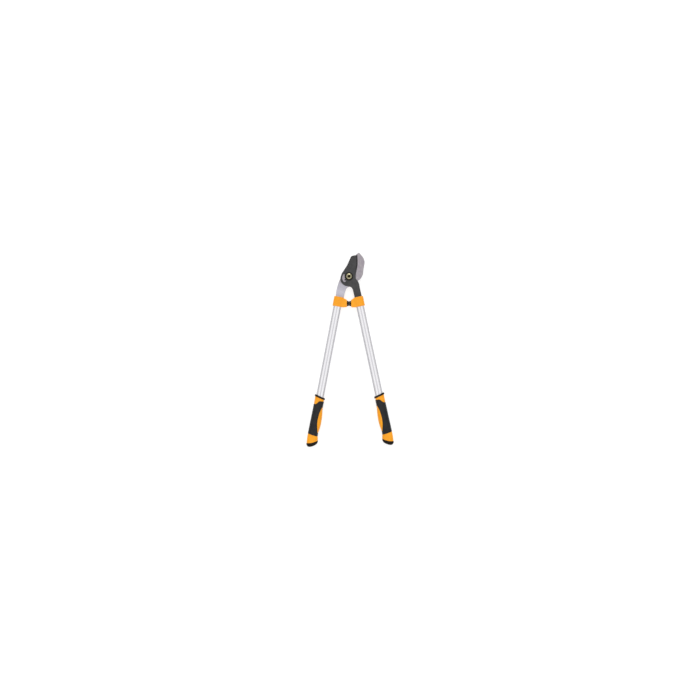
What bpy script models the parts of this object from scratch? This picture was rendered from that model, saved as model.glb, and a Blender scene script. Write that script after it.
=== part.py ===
"""Bypass loppers of the 28 inch class, closed and lying flat: jaws towards +Y, grips towards -Y, +Z up.

The origin is on the pivot's axis, on the surface that the tool lies on. Sizes below are millimetres and
degrees. Two frames are used. The head frame has the pivot at (0, 0) and +Y towards the jaws. Each handle has
a frame of its own: u runs down the handle from the pivot, v points outwards from the tool's middle, and v = 0
is the tube's axis.
"""

import math

import bmesh
import bpy
from mathutils import Vector

MM = 0.001

# The whole tool
MID_HEIGHT = 17.0  # height of the tubes' axes over the surface
GAP = 0.3  # kept between pieces that touch
HANDLE_SHAPES = {
    "left": {"side": -1, "angle": 10.9, "offset": 21.1, "extra_length": 1.5},
    "right": {"side": 1, "angle": 12.1, "offset": 16.9, "extra_length": -3.5},
}

# Pivot
BUSH_RADIUS = 7.0
BOLT_RADIUS = 5.0
RUNNING_GAP = 0.08  # all round a turning fit
PLATE_HOLE_RADIUS = BUSH_RADIUS + RUNNING_GAP
HEAD_RADIUS = 11.0
SOCKET_ACROSS_FLATS = 8.0
SOCKET_DEPTH = 3.4
FRONT_WASHER_RADIUS = 15.0
WASHER_THICKNESS = 1.5
GLIDE_RECESS_RADIUS = 12.3
GLIDE_RECESS_DEPTH = 1.25
NUT_ACROSS_FLATS = 17.0

# Jaws: the blade lies on the front of the hook, with half a gap on each side of the mid plane
BLADE_THICKNESS = 4.5
HOOK_THICKNESS = 6.0
BLADE_BACK = GAP / 2
HOOK_FRONT = -GAP / 2
GRIND_WIDTH = 5.0  # of the bevel ground along the cutting edge
EDGE_LAND = 0.35  # thickness left at the cutting edge
CRANK_START, CRANK_END = 60.0, 74.0  # along the handle: where each arm steps over to the tube's axis
TANG_START, TANG_END = 82.0, 124.0
TANG_HALF_WIDTH = 10.0
STOP_PIN_RADIUS = 2.5
STOP_PIN_TRACK = 18.85  # radius of the pin's run through the blade's window
STOP_PIN_ANGLE = 221.8

# Tubes
TUBE_HALF_WIDTH, TUBE_HALF_THICKNESS = 14.5, 9.5
TUBE_WALL = 1.5
TUBE_START, TUBE_END = 84.0, 605.0
FLUTE_DEPTH = 1.2
FLUTE_HALF_WIDTH = 3.4
OVAL_POWER = 2.3

# Tang fixings
RIVET_PLACES = {"upper": 92.0, "lower": 107.0}
RIVET_RADIUS = 2.5
RIVET_HEAD_RADIUS = 4.5
RIVET_HEAD_HEIGHT = 1.4
SCREW_PLACE = 99.5
SCREW_RADIUS = 1.75

# Collars and bumpers
COLLAR_START, COLLAR_END = 80.0, 116.0
COLLAR_HALF_WIDTH, COLLAR_HALF_THICKNESS = 18.2, 14.0
COLLAR_TOP_WALL = 3.4
NOSE_HALF_THICKNESS = 12.0
NOSE_FACE = 7.3  # distance of each nose's end from the tool's middle
NOSE_TOP, NOSE_BOTTOM = -86.0, -112.0
BUMPER_Y = -99.3
BUMPER_RADIUS = 10.0
BUMPER_STEM_RADIUS = 4.0

# Grips, at stations down the handle: u and v of the outer edge, u and v of the inner edge, half the
# thickness, and how far the middle of the station bows down the handle
GRIP_STATIONS = (
    (451.0, 18.0, 459.5, -18.0, 15.0, 0.0),
    (467.0, 17.6, 470.0, -18.0, 15.2, 0.0),
    (481.0, 17.5, 482.0, -18.0, 15.6, 0.0),
    (499.0, 17.6, 499.0, -19.6, 16.4, 0.0),
    (515.0, 17.8, 515.0, -21.9, 17.0, 0.0),
    (543.0, 18.0, 543.0, -23.4, 17.0, 0.0),
    (566.0, 18.3, 566.0, -22.0, 17.0, 0.0),
    (582.0, 18.3, 582.0, -19.0, 16.2, 0.0),
    (592.0, 18.6, 592.0, -19.4, 15.9, 0.3),
    (606.0, 18.5, 600.0, -21.8, 16.3, 1.6),
    (625.2, 16.8, 607.8, -23.4, 16.0, 3.5),
)
CAP_STATIONS = (
    (625.6, 16.8, 608.2, -23.4, 16.0, 3.5),
    (630.0, 16.2, 614.2, -23.5, 15.6, 3.4),
    (634.2, 13.4, 621.3, -21.3, 13.6, 3.0),
    (637.2, 9.2, 628.2, -14.6, 10.0, 1.8),
    (637.3, 3.8, 633.5, -5.6, 5.4, 0.6),
)
RING_STATIONS = (
    (444.2, 19.0, 452.7, -19.0, 15.6, 0.0),
    (445.0, 19.9, 453.5, -19.9, 16.5, 0.0),
    (449.8, 19.9, 458.3, -19.9, 16.5, 0.0),
    (450.6, 19.0, 459.1, -19.0, 15.6, 0.0),
)
SLEEVE_THICKNESS = 1.6
SLEEVE_TOP = ((479.8, 15.4), (478.4, 9.2), (473.3, 4.4), (468.4, 0.4), (465.8, -5.0), (465.2, -16.0))
SLEEVE_WINDOW = ((487.0, -16.4), (499.0, -12.5), (512.0, -9.7), (533.0, -8.1), (554.0, -10.0), (581.0, -17.2))
SLEEVE_BOTTOM = ((593.6, -19.7), (593.5, -7.0), (591.8, 4.5), (589.8, 17.2))
GRIP_SIDES = 20
GRIP_POWER = 2.4

# Outlines in the head frame, counter-clockwise seen from the front
CUTTING_EDGE = (
    (24.8, -8.5), (24.7, 2.0), (27.4, 19.5), (30.0, 31.0),
    (31.7, 43.0), (32.0, 60.0), (31.0, 77.4),
)
BLADE_TOP = ((31.0, 77.4), (18.5, 76.3), (11.0, 74.4), (6.6, 71.0))
BLADE_SPINE = (
    (6.6, 71.0), (1.7, 59.5), (-7.6, 39.4), (-14.7, 28.5),
    (-19.3, 21.2), (-24.4, 13.9), (-27.5, 8.0),
)
HEEL_CENTRE, HEEL_RADIUS = (-3.8, -8.5), 27.6
HEEL_FIRST, HEEL_LAST = 155.0, 255.0
BLADE_CROTCH = ((-3.8, -35.9), (2.4, -37.6), (9.4, -41.6), (13.6, -48.8))
BLADE_ARM_INNER = ((60.0, -13.4), (82.0, -13.0))
BLADE_ARM_OUTER = ((82.0, 13.6), (60.0, 13.2))
BLADE_SHOULDER = ((39.6, -41.0), (37.2, -28.5), (33.6, -19.6), (28.0, -12.4))
BLADE_WINDOW = (
    (-14.95, 5.3),
    (-15.4, 7.5),
    (-17.9, 8.9),
    (-20.6, 7.3),
    (-22.5, 4.0),
    (-24.3, 0.0),
    (-25.4, -4.5),
    (-25.2, -9.0),
    (-23.8, -13.2),
    (-21.8, -17.0),
    (-19.4, -19.9),
    (-16.4, -21.0),
    (-13.5, -20.0),
    (-11.9, -17.4),
    (-11.2, -13.6),
    (-12.6, -9.6),
    (-14.6, -6.1),
    (-15.7, -2.0),
    (-15.75, 2.0),
)

HOOK_TIP = ((36.4, 87.5), (25.2, 79.2))
HOOK_MOUTH = (
    (23.2, 75.4), (25.6, 67.0), (27.4, 55.0), (26.6, 41.0),
    (23.6, 30.0), (18.6, 21.0), (16.3, 16.3),
)
HOOK_DISC_RADIUS = 24.2
HOOK_DISC_FIRST, HOOK_DISC_LAST = 52.0, 160.0
HOOK_BACK = ((-26.0, 3.0), (-31.0, -7.5), (-34.4, -13.4), (-36.9, -19.9), (-39.6, -27.5), (-42.2, -36.5))
HOOK_ARM_OUTER = ((60.0, 14.3), (82.0, 12.6))
HOOK_ARM_INNER = ((82.0, -16.6), (64.0, -17.1))
HOOK_CROTCH = ((-13.0, -53.0), (-8.6, -43.4), (-1.8, -39.4), (5.0, -37.0), (14.0, -31.0), (24.0, -22.0))
HOOK_LOBE = ((24.0, -22.0), (32.0, -16.0), (39.6, -11.8), (46.6, -2.0), (51.2, 9.0), (52.7, 24.0))
HOOK_OUTER = (
    (52.7, 24.0), (55.2, 38.0), (57.0, 49.0), (56.5, 57.0),
    (53.3, 66.0), (48.8, 72.8), (36.4, 87.5),
)


# ---------------------------------------------------------------- points and outlines


class Handle:
    """The frame of one handle. place() turns (u, v, z) into the frame of the handle's empty."""

    def __init__(self, name):
        shape = HANDLE_SHAPES[name]
        self.name = name
        self.side = shape["side"]
        self.turn = math.radians(self.side * shape["angle"])
        outwards = Vector((self.side * math.cos(self.turn), self.side * math.sin(self.turn)))
        self.foot = shape["offset"] * outwards
        self.extra = shape["extra_length"]

    def place(self, u, v, z):
        return self.side * v, -u, z

    def to_head(self, u, v):
        x, y = self.side * v, -u
        cos, sin = math.cos(self.turn), math.sin(self.turn)
        return self.foot.x + x * cos - y * sin, self.foot.y + x * sin + y * cos

    def from_head(self, x, y):
        x, y = x - self.foot.x, y - self.foot.y
        cos, sin = math.cos(self.turn), math.sin(self.turn)
        return x * sin - y * cos, self.side * (x * cos + y * sin)


def smooth_run(points, steps=3):
    """A Catmull-Rom curve through the points, with that many steps between neighbours."""
    ends = [points[0], *points, points[-1]]
    curve = []
    for a, b, c, d in zip(ends, ends[1:], ends[2:], ends[3:]):
        for k in range(steps):
            t = k / steps
            point = []
            for p, q, r, s in zip(a, b, c, d):
                square, cube = 2 * p - 5 * q + 4 * r - s, 3 * q - p - 3 * r + s
                point.append(0.5 * (2 * q + (r - p) * t + square * t**2 + cube * t**3))
            curve.append(tuple(point))
    return [*curve, tuple(points[-1])]


def arc(centre, radius, first, last, steps):
    angles = [math.radians(first + (last - first) * k / steps) for k in range(steps + 1)]
    return [(centre[0] + radius * math.cos(a), centre[1] + radius * math.sin(a)) for a in angles]


def without_repeats(points):
    kept = []
    for p in points:
        if not kept or math.dist(p, kept[-1]) > 1e-6:
            kept.append(p)
    return kept if math.dist(kept[0], kept[-1]) > 1e-6 else kept[:-1]


def inset(outline, widths):
    """The counter-clockwise outline moved inwards, edge k (from point k to the next) by widths[k]."""
    moved = []
    for k, point in enumerate(outline):
        before, after = Vector(outline[k - 1]), Vector(outline[(k + 1) % len(outline)])
        here = Vector(point)
        into, out_of = (here - before).normalized(), (after - here).normalized()
        n1, n2 = Vector((-into.y, into.x)), Vector((-out_of.y, out_of.x))
        w1, w2 = widths[k - 1], widths[k]
        cross = into.cross(out_of)
        if abs(cross) < 0.3:
            shift = (n1 + n2).normalized() * (w1 + w2) / 2
        else:
            along = (w2 - w1 * n1.dot(n2)) / into.dot(n2)
            shift = n1 * w1 + into * along
        moved.append(tuple(here + shift))
    return moved


def oval(half_width, half_thickness, power=OVAL_POWER, count=32, flute=0.0):
    """Points (v, z) round a superellipse, with a shallow flute along the middle of its two broad faces."""
    points = []
    for k in range(count):
        angle = 2 * math.pi * (k + 0.5) / count
        cos, sin = math.cos(angle), math.sin(angle)
        v = half_width * math.copysign(abs(cos) ** (2 / power), cos)
        z = half_thickness * math.copysign(abs(sin) ** (2 / power), sin)
        z -= math.copysign(flute * math.exp(-((v / FLUTE_HALF_WIDTH) ** 2)), sin) if abs(sin) > 0.5 else 0.0
        points.append((v, z))
    return points


def grip_section(station, shrink=0.0):
    """Points (u, v, z) round one grip station; its broad faces are flat in the middle."""
    u_out, v_out, u_in, v_in, half, bow = station
    v_out, v_in, half = v_out - shrink, v_in + shrink, half - shrink
    points = []
    for k in range(GRIP_SIDES):
        angle = 2 * math.pi * (k + 0.5) / GRIP_SIDES
        cos, sin = math.cos(angle), math.sin(angle)
        across = math.copysign(abs(cos) ** (2 / GRIP_POWER), cos)
        z = 1.04 * half * math.copysign(abs(sin) ** (2 / GRIP_POWER), sin)
        share = (1 + across) / 2
        u = u_in + (u_out - u_in) * share + bow * (1 - across**2)
        v = v_in + (v_out - v_in) * share
        points.append((u, v, max(-half, min(half, z))))
    return points


# ---------------------------------------------------------------- objects


def empty(name, parent=None, location=(0, 0, 0), turn=0.0):
    made = bpy.data.objects.new(name, None)
    bpy.context.scene.collection.objects.link(made)
    made.parent = parent
    made.location = Vector(location) * MM
    made.rotation_euler.z = turn
    return made


def material(name, colour, roughness, metallic=0.0):
    made = bpy.data.materials.new(name)
    made.use_nodes = True
    shader = made.node_tree.nodes["Principled BSDF"]
    shader.inputs["Base Color"].default_value = (*colour, 1.0)
    shader.inputs["Roughness"].default_value = roughness
    shader.inputs["Metallic"].default_value = metallic
    return made


def solid(name, points, faces, parent, surface=None):
    """A mesh object of points in millimetres. Without a surface it is a cutter."""
    mesh = bpy.data.meshes.new(name)
    mesh.from_pydata([Vector(p) * MM for p in points], [], faces)
    work = bmesh.new()
    work.from_mesh(mesh)
    bmesh.ops.triangulate(work, faces=[f for f in work.faces if len(f.verts) > 4])
    bmesh.ops.recalc_face_normals(work, faces=work.faces)
    work.to_mesh(mesh)
    work.free()
    made = bpy.data.objects.new(name, mesh)
    bpy.context.scene.collection.objects.link(made)
    made.parent = parent
    if surface is None:
        made.hide_render = True
        made.display_type = "WIRE"
    else:
        mesh.materials.append(surface)
        mesh.shade_smooth()
        mesh.set_sharp_from_angle(angle=math.radians(35))
    return made


def loft(sections):
    """Points and faces of a closed body through sections of equal count, with flat ends."""
    count = len(sections[0])
    points = [p for section in sections for p in section]
    faces = []
    for level in range(len(sections) - 1):
        for k in range(count):
            a, b = level * count + k, level * count + (k + 1) % count
            faces.append((a, b, b + count, a + count))
    faces.append(tuple(range(count)))
    faces.append(tuple(range(len(points) - count, len(points))))
    return points, faces


def pipe(outer_first, outer_last, inner_last, inner_first):
    """Points and faces of an open-ended tube from its four rims."""
    rims = [outer_first, outer_last, inner_last, inner_first]
    count = len(outer_first)
    points = [p for rim in rims for p in rim]
    faces = []
    for level in range(4):
        for k in range(count):
            a, b = level * count + k, level * count + (k + 1) % count
            c, d = (b + count) % len(points), (a + count) % len(points)
            faces.append((a, b, c, d))
    return points, faces


def circle(radius, z, count):
    angles = [2 * math.pi * k / count for k in range(count)]
    return [(radius * math.cos(angle), radius * math.sin(angle), z) for angle in angles]


def turned(profile, count=32, centre=(0.0, 0.0)):
    """Points and faces of a solid turned about Z from (radius, z) pairs."""
    sections = [[(x + centre[0], y + centre[1], z) for x, y, z in circle(r, h, count)] for r, h in profile]
    return loft(sections)


def washer(outer, inner, low, high, count=32):
    rims = [circle(r, z, count) for r, z in ((outer, low), (outer, high), (inner, high), (inner, low))]
    return pipe(*rims)


def prism(outline, low, high):
    return loft([[(x, y, low) for x, y in outline], [(x, y, high) for x, y in outline]])


def combine(body, tool, operation="DIFFERENCE"):
    step = body.modifiers.new(f"{operation.lower()}_{tool.name}", "BOOLEAN")
    step.operation = operation
    step.solver = "EXACT"
    step.object = tool


def soften(body, width, segments=1, angle=40.0):
    step = body.modifiers.new("softened_edges", "BEVEL")
    step.width = width * MM
    step.segments = segments
    step.limit_method = "ANGLE"
    step.angle_limit = math.radians(angle)


# ---------------------------------------------------------------- jaws


def plate(name, outline, low, high, bottom_widths, top_widths, chamfers, parent, surface):
    """A plate whose two faces are inset from its outline by a width for each edge."""
    levels = (
        (low, inset(outline, bottom_widths)),
        (low + chamfers[0], outline),
        (high - chamfers[1], outline),
        (high, inset(outline, top_widths)),
    )
    sections = [[(x, y, z) for x, y in points] for z, points in levels]
    return solid(name, *loft(sections), parent, surface)


def crank(body, handle, shift):
    """Steps a plate's arm by shift between the two crank lines, so that its tang is on the tube's axis."""
    work = bmesh.new()
    work.from_mesh(body.data)
    direction = Vector(handle.to_head(1.0, 0.0)) - handle.foot
    for line in (CRANK_START, CRANK_END):
        point = Vector(handle.to_head(line, 0.0)) * MM
        bmesh.ops.bisect_plane(
            work,
            geom=[*work.verts, *work.edges, *work.faces],
            dist=0.01 * MM,
            plane_co=(point.x, point.y, 0.0),
            plane_no=(direction.x, direction.y, 0.0),
        )
    for vertex in work.verts:
        u, _ = handle.from_head(vertex.co.x / MM, vertex.co.y / MM)
        share = (u - CRANK_START) / (CRANK_END - CRANK_START)
        vertex.co.z += shift * MM * max(0.0, min(1.0, share))
    work.to_mesh(body.data)
    work.free()


def tang(handle):
    """The four corners of a tang, from the outer edge's shoulder round its end, in the head frame."""
    corners = ((TANG_START, 1), (TANG_END, 1), (TANG_END, -1), (TANG_START, -1))
    return [handle.to_head(u, v * TANG_HALF_WIDTH) for u, v in corners]


def drill_plate(body, handle, parent):
    """The pivot's hole and the two rivet holes of a plate."""
    drill = turned(((PLATE_HOLE_RADIUS, -20), (PLATE_HOLE_RADIUS, 20)))
    combine(body, solid(f"{body.name}_pivot_drill", *drill, parent))
    for place, u in RIVET_PLACES.items():
        centre = handle.to_head(u, 0.0)
        profile = ((RIVET_RADIUS + GAP, -20), (RIVET_RADIUS + GAP, 20))
        combine(body, solid(f"{body.name}_{place}_drill", *turned(profile, 16, centre), parent))


def make_blade(handle, parent, surface):
    """The coated cutting blade and its arm, on the front of the tool."""
    edge = smooth_run(CUTTING_EDGE)
    heel = arc(HEEL_CENTRE, HEEL_RADIUS, HEEL_FIRST, HEEL_LAST, 12)
    inner = [handle.to_head(*p) for p in BLADE_ARM_INNER]
    outer = [handle.to_head(*p) for p in BLADE_ARM_OUTER]
    rest = [
        *BLADE_TOP,
        *smooth_run(BLADE_SPINE, 2)[:-1],
        *heel,
        *smooth_run((*BLADE_CROTCH, inner[0]), 2),
        inner[1],
        *reversed(tang(handle)),
        outer[0],
        *smooth_run((outer[1], *BLADE_SHOULDER), 2),
    ]
    outline = without_repeats([*edge, *rest])
    fade = (0.1, 0.2, 0.3, 0.4, 0.5, 0.65, 0.8, 0.9)  # the grind narrows towards the blade's heel
    ground = len(without_repeats(edge)) - 1
    grind = [GRIND_WIDTH * share for share in fade] + [GRIND_WIDTH] * (ground - len(fade))
    top_widths = grind + [0.7] * (len(outline) - ground)
    bottom_widths = [0.05] * len(outline)
    low, high = BLADE_BACK, BLADE_BACK + BLADE_THICKNESS
    chamfers = (EDGE_LAND / 2, 0.7)
    body = plate("blade", outline, low, high, bottom_widths, top_widths, chamfers, parent, surface)
    top_edge = [v for v in body.data.vertices if abs(v.co.z - (high - 0.7) * MM) < 1e-7]
    lowered = {k for k in range(ground + 1)}
    for vertex in top_edge:
        place = (vertex.co.x / MM, vertex.co.y / MM)
        near = min(range(len(outline)), key=lambda k: math.dist(outline[k], place))
        if near in lowered:
            vertex.co.z = (low + EDGE_LAND) * MM
    crank(body, handle, -(low + high) / 2)
    drill_plate(body, handle, parent)
    window = without_repeats(smooth_run((*BLADE_WINDOW, BLADE_WINDOW[0]), 2))
    combine(body, solid("blade_window_cutter", *prism(window, -20, 20), parent))
    return body


def make_hook(handle, parent, surface):
    """The counter blade and its arm, behind the blade."""
    arm_outer = [handle.to_head(*p) for p in HOOK_ARM_OUTER]
    arm_inner = [handle.to_head(*p) for p in HOOK_ARM_INNER]
    mouth = [HOOK_TIP[1], *smooth_run(HOOK_MOUTH, 2)]
    rest = [
        *arc((0, 0), HOOK_DISC_RADIUS, HOOK_DISC_FIRST, HOOK_DISC_LAST, 10),
        *smooth_run((*HOOK_BACK, arm_outer[0]), 2),
        arm_outer[1],
        *tang(handle),
        arm_inner[0],
        *smooth_run((arm_inner[1], *HOOK_CROTCH), 2),
        *smooth_run(HOOK_LOBE, 2),
        *smooth_run(HOOK_OUTER, 2)[:-1],
    ]
    outline = without_repeats([HOOK_TIP[0], *mouth, *rest])
    inner_edge = len(without_repeats([HOOK_TIP[0], *mouth])) - 1
    low, high = HOOK_FRONT - HOOK_THICKNESS, HOOK_FRONT
    bottom_widths = [2.0 if k < inner_edge else 1.0 for k in range(len(outline))]
    top_widths = [0.05 if 0 < k < inner_edge else 0.8 for k in range(len(outline))]
    body = plate("hook", outline, low, high, bottom_widths, top_widths, (1.0, 0.8), parent, surface)
    crank(body, handle, -(low + high) / 2)
    drill_plate(body, handle, parent)
    recess = turned(((GLIDE_RECESS_RADIUS, high - GLIDE_RECESS_DEPTH), (GLIDE_RECESS_RADIUS, high + 5)))
    combine(body, solid("hook_glide_recess_cutter", *recess, parent))
    pin_hole = turned(((STOP_PIN_RADIUS + GAP, -20), (STOP_PIN_RADIUS + GAP, 20)), 20, stop_pin_centre())
    combine(body, solid("hook_stop_pin_drill", *pin_hole, parent))
    return body


def stop_pin_centre():
    return arc((0, 0), STOP_PIN_TRACK, STOP_PIN_ANGLE, STOP_PIN_ANGLE, 1)[0]


# ---------------------------------------------------------------- pivot


def make_pivot(parent, surfaces):
    blade_front = BLADE_BACK + BLADE_THICKNESS
    hook_back = HOOK_FRONT - HOOK_THICKNESS
    hole = BOLT_RADIUS + GAP
    washer_low = blade_front + GAP
    head_low = washer_low + WASHER_THICKNESS + GAP
    low_end = -MID_HEIGHT
    bolt_profile = (
        (BOLT_RADIUS - 0.8, low_end),
        (BOLT_RADIUS, low_end + 0.8),
        (BOLT_RADIUS, head_low),
        (HEAD_RADIUS, head_low),
        (HEAD_RADIUS, head_low + 1.8),
        (HEAD_RADIUS - 0.9, head_low + 3.2),
        (HEAD_RADIUS - 2.9, head_low + 4.5),
        (HEAD_RADIUS - 4.6, head_low + 4.9),
    )
    bolt = solid("pivot_bolt", *turned(bolt_profile), parent, surfaces["bolt_zinc"])
    head_top = bolt_profile[-1][1]
    corner = SOCKET_ACROSS_FLATS / 2 / math.cos(math.pi / 6)
    socket = turned(((corner, head_top - SOCKET_DEPTH), (corner, head_top + 5)), 6)
    combine(bolt, solid("hex_socket_cutter", *socket, parent))

    front = washer(FRONT_WASHER_RADIUS, hole, washer_low, washer_low + WASHER_THICKNESS)
    solid("pivot_washer_front", *front, parent, surfaces["washer_black"])
    bush = washer(BUSH_RADIUS, BOLT_RADIUS + RUNNING_GAP, hook_back + 0.2, blade_front - 0.2)
    solid("pivot_bush", *bush, parent, surfaces["bronze"])
    glide_low = HOOK_FRONT - GLIDE_RECESS_DEPTH + 0.2
    glide = washer(GLIDE_RECESS_RADIUS - GAP, BUSH_RADIUS + GAP, glide_low, HOOK_FRONT + 0.05)
    solid("glide_washer", *glide, parent, surfaces["nylon"])
    back_high = hook_back - 0.2
    back = washer(12.0, hole, back_high - WASHER_THICKNESS, back_high)
    solid("pivot_washer_back", *back, parent, surfaces["steel"])
    make_nut(parent, back_high - WASHER_THICKNESS - 0.2, surfaces["steel"])
    ends = ((STOP_PIN_RADIUS, hook_back + 0.2), (STOP_PIN_RADIUS, blade_front - 0.2))
    pin = turned(ends, 20, stop_pin_centre())
    solid("stop_pin", *pin, parent, surfaces["steel"])


def make_nut(parent, high, surface):
    """A self-locking hexagon nut: hexagon with a chamfered rim, and the round collar of its insert below."""
    count = 24
    half = NUT_ACROSS_FLATS / 2

    def ring(limit, z, shape=half):
        points = []
        for k in range(count):
            angle = 2 * math.pi * k / count
            off_flat = (angle + math.pi / 6) % (math.pi / 3) - math.pi / 6
            radius = min(shape / math.cos(off_flat), limit)
            points.append((radius * math.cos(angle), radius * math.sin(angle), z))
        return points

    corner = half / math.cos(math.pi / 6)
    sections = [
        ring(half * 0.98, high),
        ring(corner, high - 0.8),
        ring(corner, high - 6.2),
        ring(half * 0.98, high - 6.8),
        circle(half * 0.9, high - 7.0, count),
        circle(half * 0.86, -MID_HEIGHT + 0.9, count),
        circle(half * 0.74, -MID_HEIGHT + 0.4, count),
    ]
    nut = solid("pivot_nut", *loft(sections), parent, surface)
    hole = turned(((BOLT_RADIUS + GAP, -MID_HEIGHT - 2), (BOLT_RADIUS + GAP, 0)), 32)
    combine(nut, solid("pivot_nut_drill", *hole, parent))


# ---------------------------------------------------------------- handles


def along(handle, section, u):
    return [handle.place(u, v, z) for v, z in section]


def make_tube(handle, frame, surface):
    outer = oval(TUBE_HALF_WIDTH, TUBE_HALF_THICKNESS, flute=FLUTE_DEPTH)
    inner = oval(TUBE_HALF_WIDTH - TUBE_WALL, TUBE_HALF_THICKNESS - TUBE_WALL, flute=FLUTE_DEPTH)
    end = TUBE_END + handle.extra
    rims = ((outer, TUBE_START), (outer, end), (inner, end), (inner, TUBE_START))
    wall = pipe(*(along(handle, section, u) for section, u in rims))
    tube = solid(f"tube_{handle.name}", *wall, frame, surface)
    drill_for_rivets(tube, handle, frame)
    hole = SCREW_RADIUS + GAP
    combine(tube, upright_drill(f"{tube.name}_screw_drill", handle, frame, SCREW_PLACE, hole, -20, -5))


def upright_drill(name, handle, frame, u, radius, low, high):
    x, y, _ = handle.place(u, 0.0, 0.0)
    return solid(name, *turned(((radius, low), (radius, high)), 16, (x, y)), frame)


def drill_for_rivets(body, handle, frame):
    for place, u in RIVET_PLACES.items():
        drill = upright_drill(f"{body.name}_{place}_drill", handle, frame, u, RIVET_RADIUS + GAP, -20, 20)
        combine(body, drill)


def make_adapter(handle, frame, plate_thickness, surface):
    """The moulded plug that fills the tube round the tang."""
    slack = TUBE_WALL + GAP
    section = oval(TUBE_HALF_WIDTH - slack, TUBE_HALF_THICKNESS - slack, flute=FLUTE_DEPTH)
    first, last = TUBE_START + 0.5, TANG_END + 4.0
    block = loft([along(handle, section, first), along(handle, section, last)])
    body = solid(f"tang_adapter_{handle.name}", *block, frame, surface)
    v, z = TANG_HALF_WIDTH + GAP, plate_thickness / 2 + GAP
    corners = [(-v, -z), (v, -z), (v, z), (-v, z)]
    slot = loft([along(handle, corners, first - 5), along(handle, corners, TANG_END + 0.4)])
    combine(body, solid(f"{body.name}_slot_cutter", *slot, frame))
    drill_for_rivets(body, handle, frame)
    hole = SCREW_RADIUS + GAP
    drill = upright_drill(f"{body.name}_screw_drill", handle, frame, SCREW_PLACE, hole, -20, -z - 0.6)
    combine(body, drill)


def make_rivets(handle, frame, surface):
    under = TUBE_HALF_THICKNESS + 0.1
    top = under + RIVET_HEAD_HEIGHT
    profile = (
        (RIVET_HEAD_RADIUS - 1.0, -top),
        (RIVET_HEAD_RADIUS, -under),
        (RIVET_RADIUS, -under),
        (RIVET_RADIUS, under),
        (RIVET_HEAD_RADIUS, under),
        (RIVET_HEAD_RADIUS - 1.0, top),
    )
    for place, u in RIVET_PLACES.items():
        x, y, _ = handle.place(u, 0.0, 0.0)
        solid(f"rivet_{handle.name}_{place}", *turned(profile, 14, (x, y)), frame, surface)


def make_collar(handle, frame, plate_thickness, arm_edges, surface):
    """The moulded collar over the tube's end, with the nose that carries the bumper."""
    steps = ((COLLAR_START, 1.6), (COLLAR_START + 1.8, 0.0), (COLLAR_END - 1.4, 0.0), (COLLAR_END, 1.2))
    sections = []
    for u, shrink in steps:
        outside = oval(COLLAR_HALF_WIDTH - shrink, COLLAR_HALF_THICKNESS - shrink, 2.6)
        sections.append(along(handle, outside, u))
    body = solid(f"collar_{handle.name}", *loft(sections), frame, surface)

    end_top = handle.from_head(handle.side * NOSE_FACE, NOSE_TOP)
    end_bottom = handle.from_head(handle.side * NOSE_FACE, NOSE_BOTTOM)
    nose_outline = (
        (COLLAR_START + 2.0, -6.0),
        (COLLAR_START + 2.4, -19.0),
        end_top,
        end_bottom,
        (COLLAR_END - 1.0, -25.0),
        (COLLAR_END - 1.0, -6.0),
    )
    flat = [handle.place(u, v, 0.0)[:2] for u, v in nose_outline]
    nose = solid(f"{body.name}_nose", *prism(flat, -NOSE_HALF_THICKNESS, NOSE_HALF_THICKNESS), frame)
    soften(nose, 2.5, 2)
    combine(body, nose, "UNION")

    bore = oval(TUBE_HALF_WIDTH + GAP, TUBE_HALF_THICKNESS + RIVET_HEAD_HEIGHT + 0.5, 2.6)
    bore_ends = [along(handle, bore, u) for u in (COLLAR_START + COLLAR_TOP_WALL, COLLAR_END + 4)]
    combine(body, solid(f"{body.name}_bore_cutter", *loft(bore_ends), frame))
    v_in, v_out = arm_edges
    z = plate_thickness / 2 + 0.4
    corners = [(v_in - 0.4, -z), (v_out + 0.4, -z), (v_out + 0.4, z), (v_in - 0.4, z)]
    slot = loft([along(handle, corners, u) for u in (COLLAR_START - 4, COLLAR_START + COLLAR_TOP_WALL + 1)])
    combine(body, solid(f"{body.name}_slot_cutter", *slot, frame))
    drill = upright_drill(f"{body.name}_screw_drill", handle, frame, SCREW_PLACE, SCREW_RADIUS + GAP, -30, -8)
    combine(body, drill)
    return body


def turned_along_x(profile, side, count=20):
    """Like turned(), about the bumpers' shared axis: (radius, distance from the tool's middle) pairs."""
    sections = []
    for radius, x in profile:
        sections.append([(side * x, BUMPER_Y + a, b) for a, b, _ in circle(radius, 0.0, count)])
    return loft(sections)


def make_bumper(handle, head, collar, surface):
    stem_end = NOSE_FACE + 9.0
    profile = (
        (BUMPER_STEM_RADIUS - 0.6, stem_end),
        (BUMPER_STEM_RADIUS, stem_end - 1.0),
        (BUMPER_STEM_RADIUS, NOSE_FACE - GAP),
        (BUMPER_RADIUS, NOSE_FACE - GAP),
        (BUMPER_RADIUS, NOSE_FACE - 2.4),
        (BUMPER_RADIUS - 0.6, NOSE_FACE - 4.3),
        (BUMPER_RADIUS - 1.8, NOSE_FACE - 5.9),
        (BUMPER_RADIUS - 3.2, NOSE_FACE - 6.8),
        (BUMPER_RADIUS - 4.6, GAP / 2),
    )
    solid(f"bumper_{handle.name}", *turned_along_x(profile, handle.side), head, surface)
    radius = BUMPER_STEM_RADIUS + GAP
    socket = turned_along_x(((radius, stem_end + GAP), (radius, 0.0)), handle.side)
    combine(collar, solid(f"{collar.name}_stem_drill", *socket, head))


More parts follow.
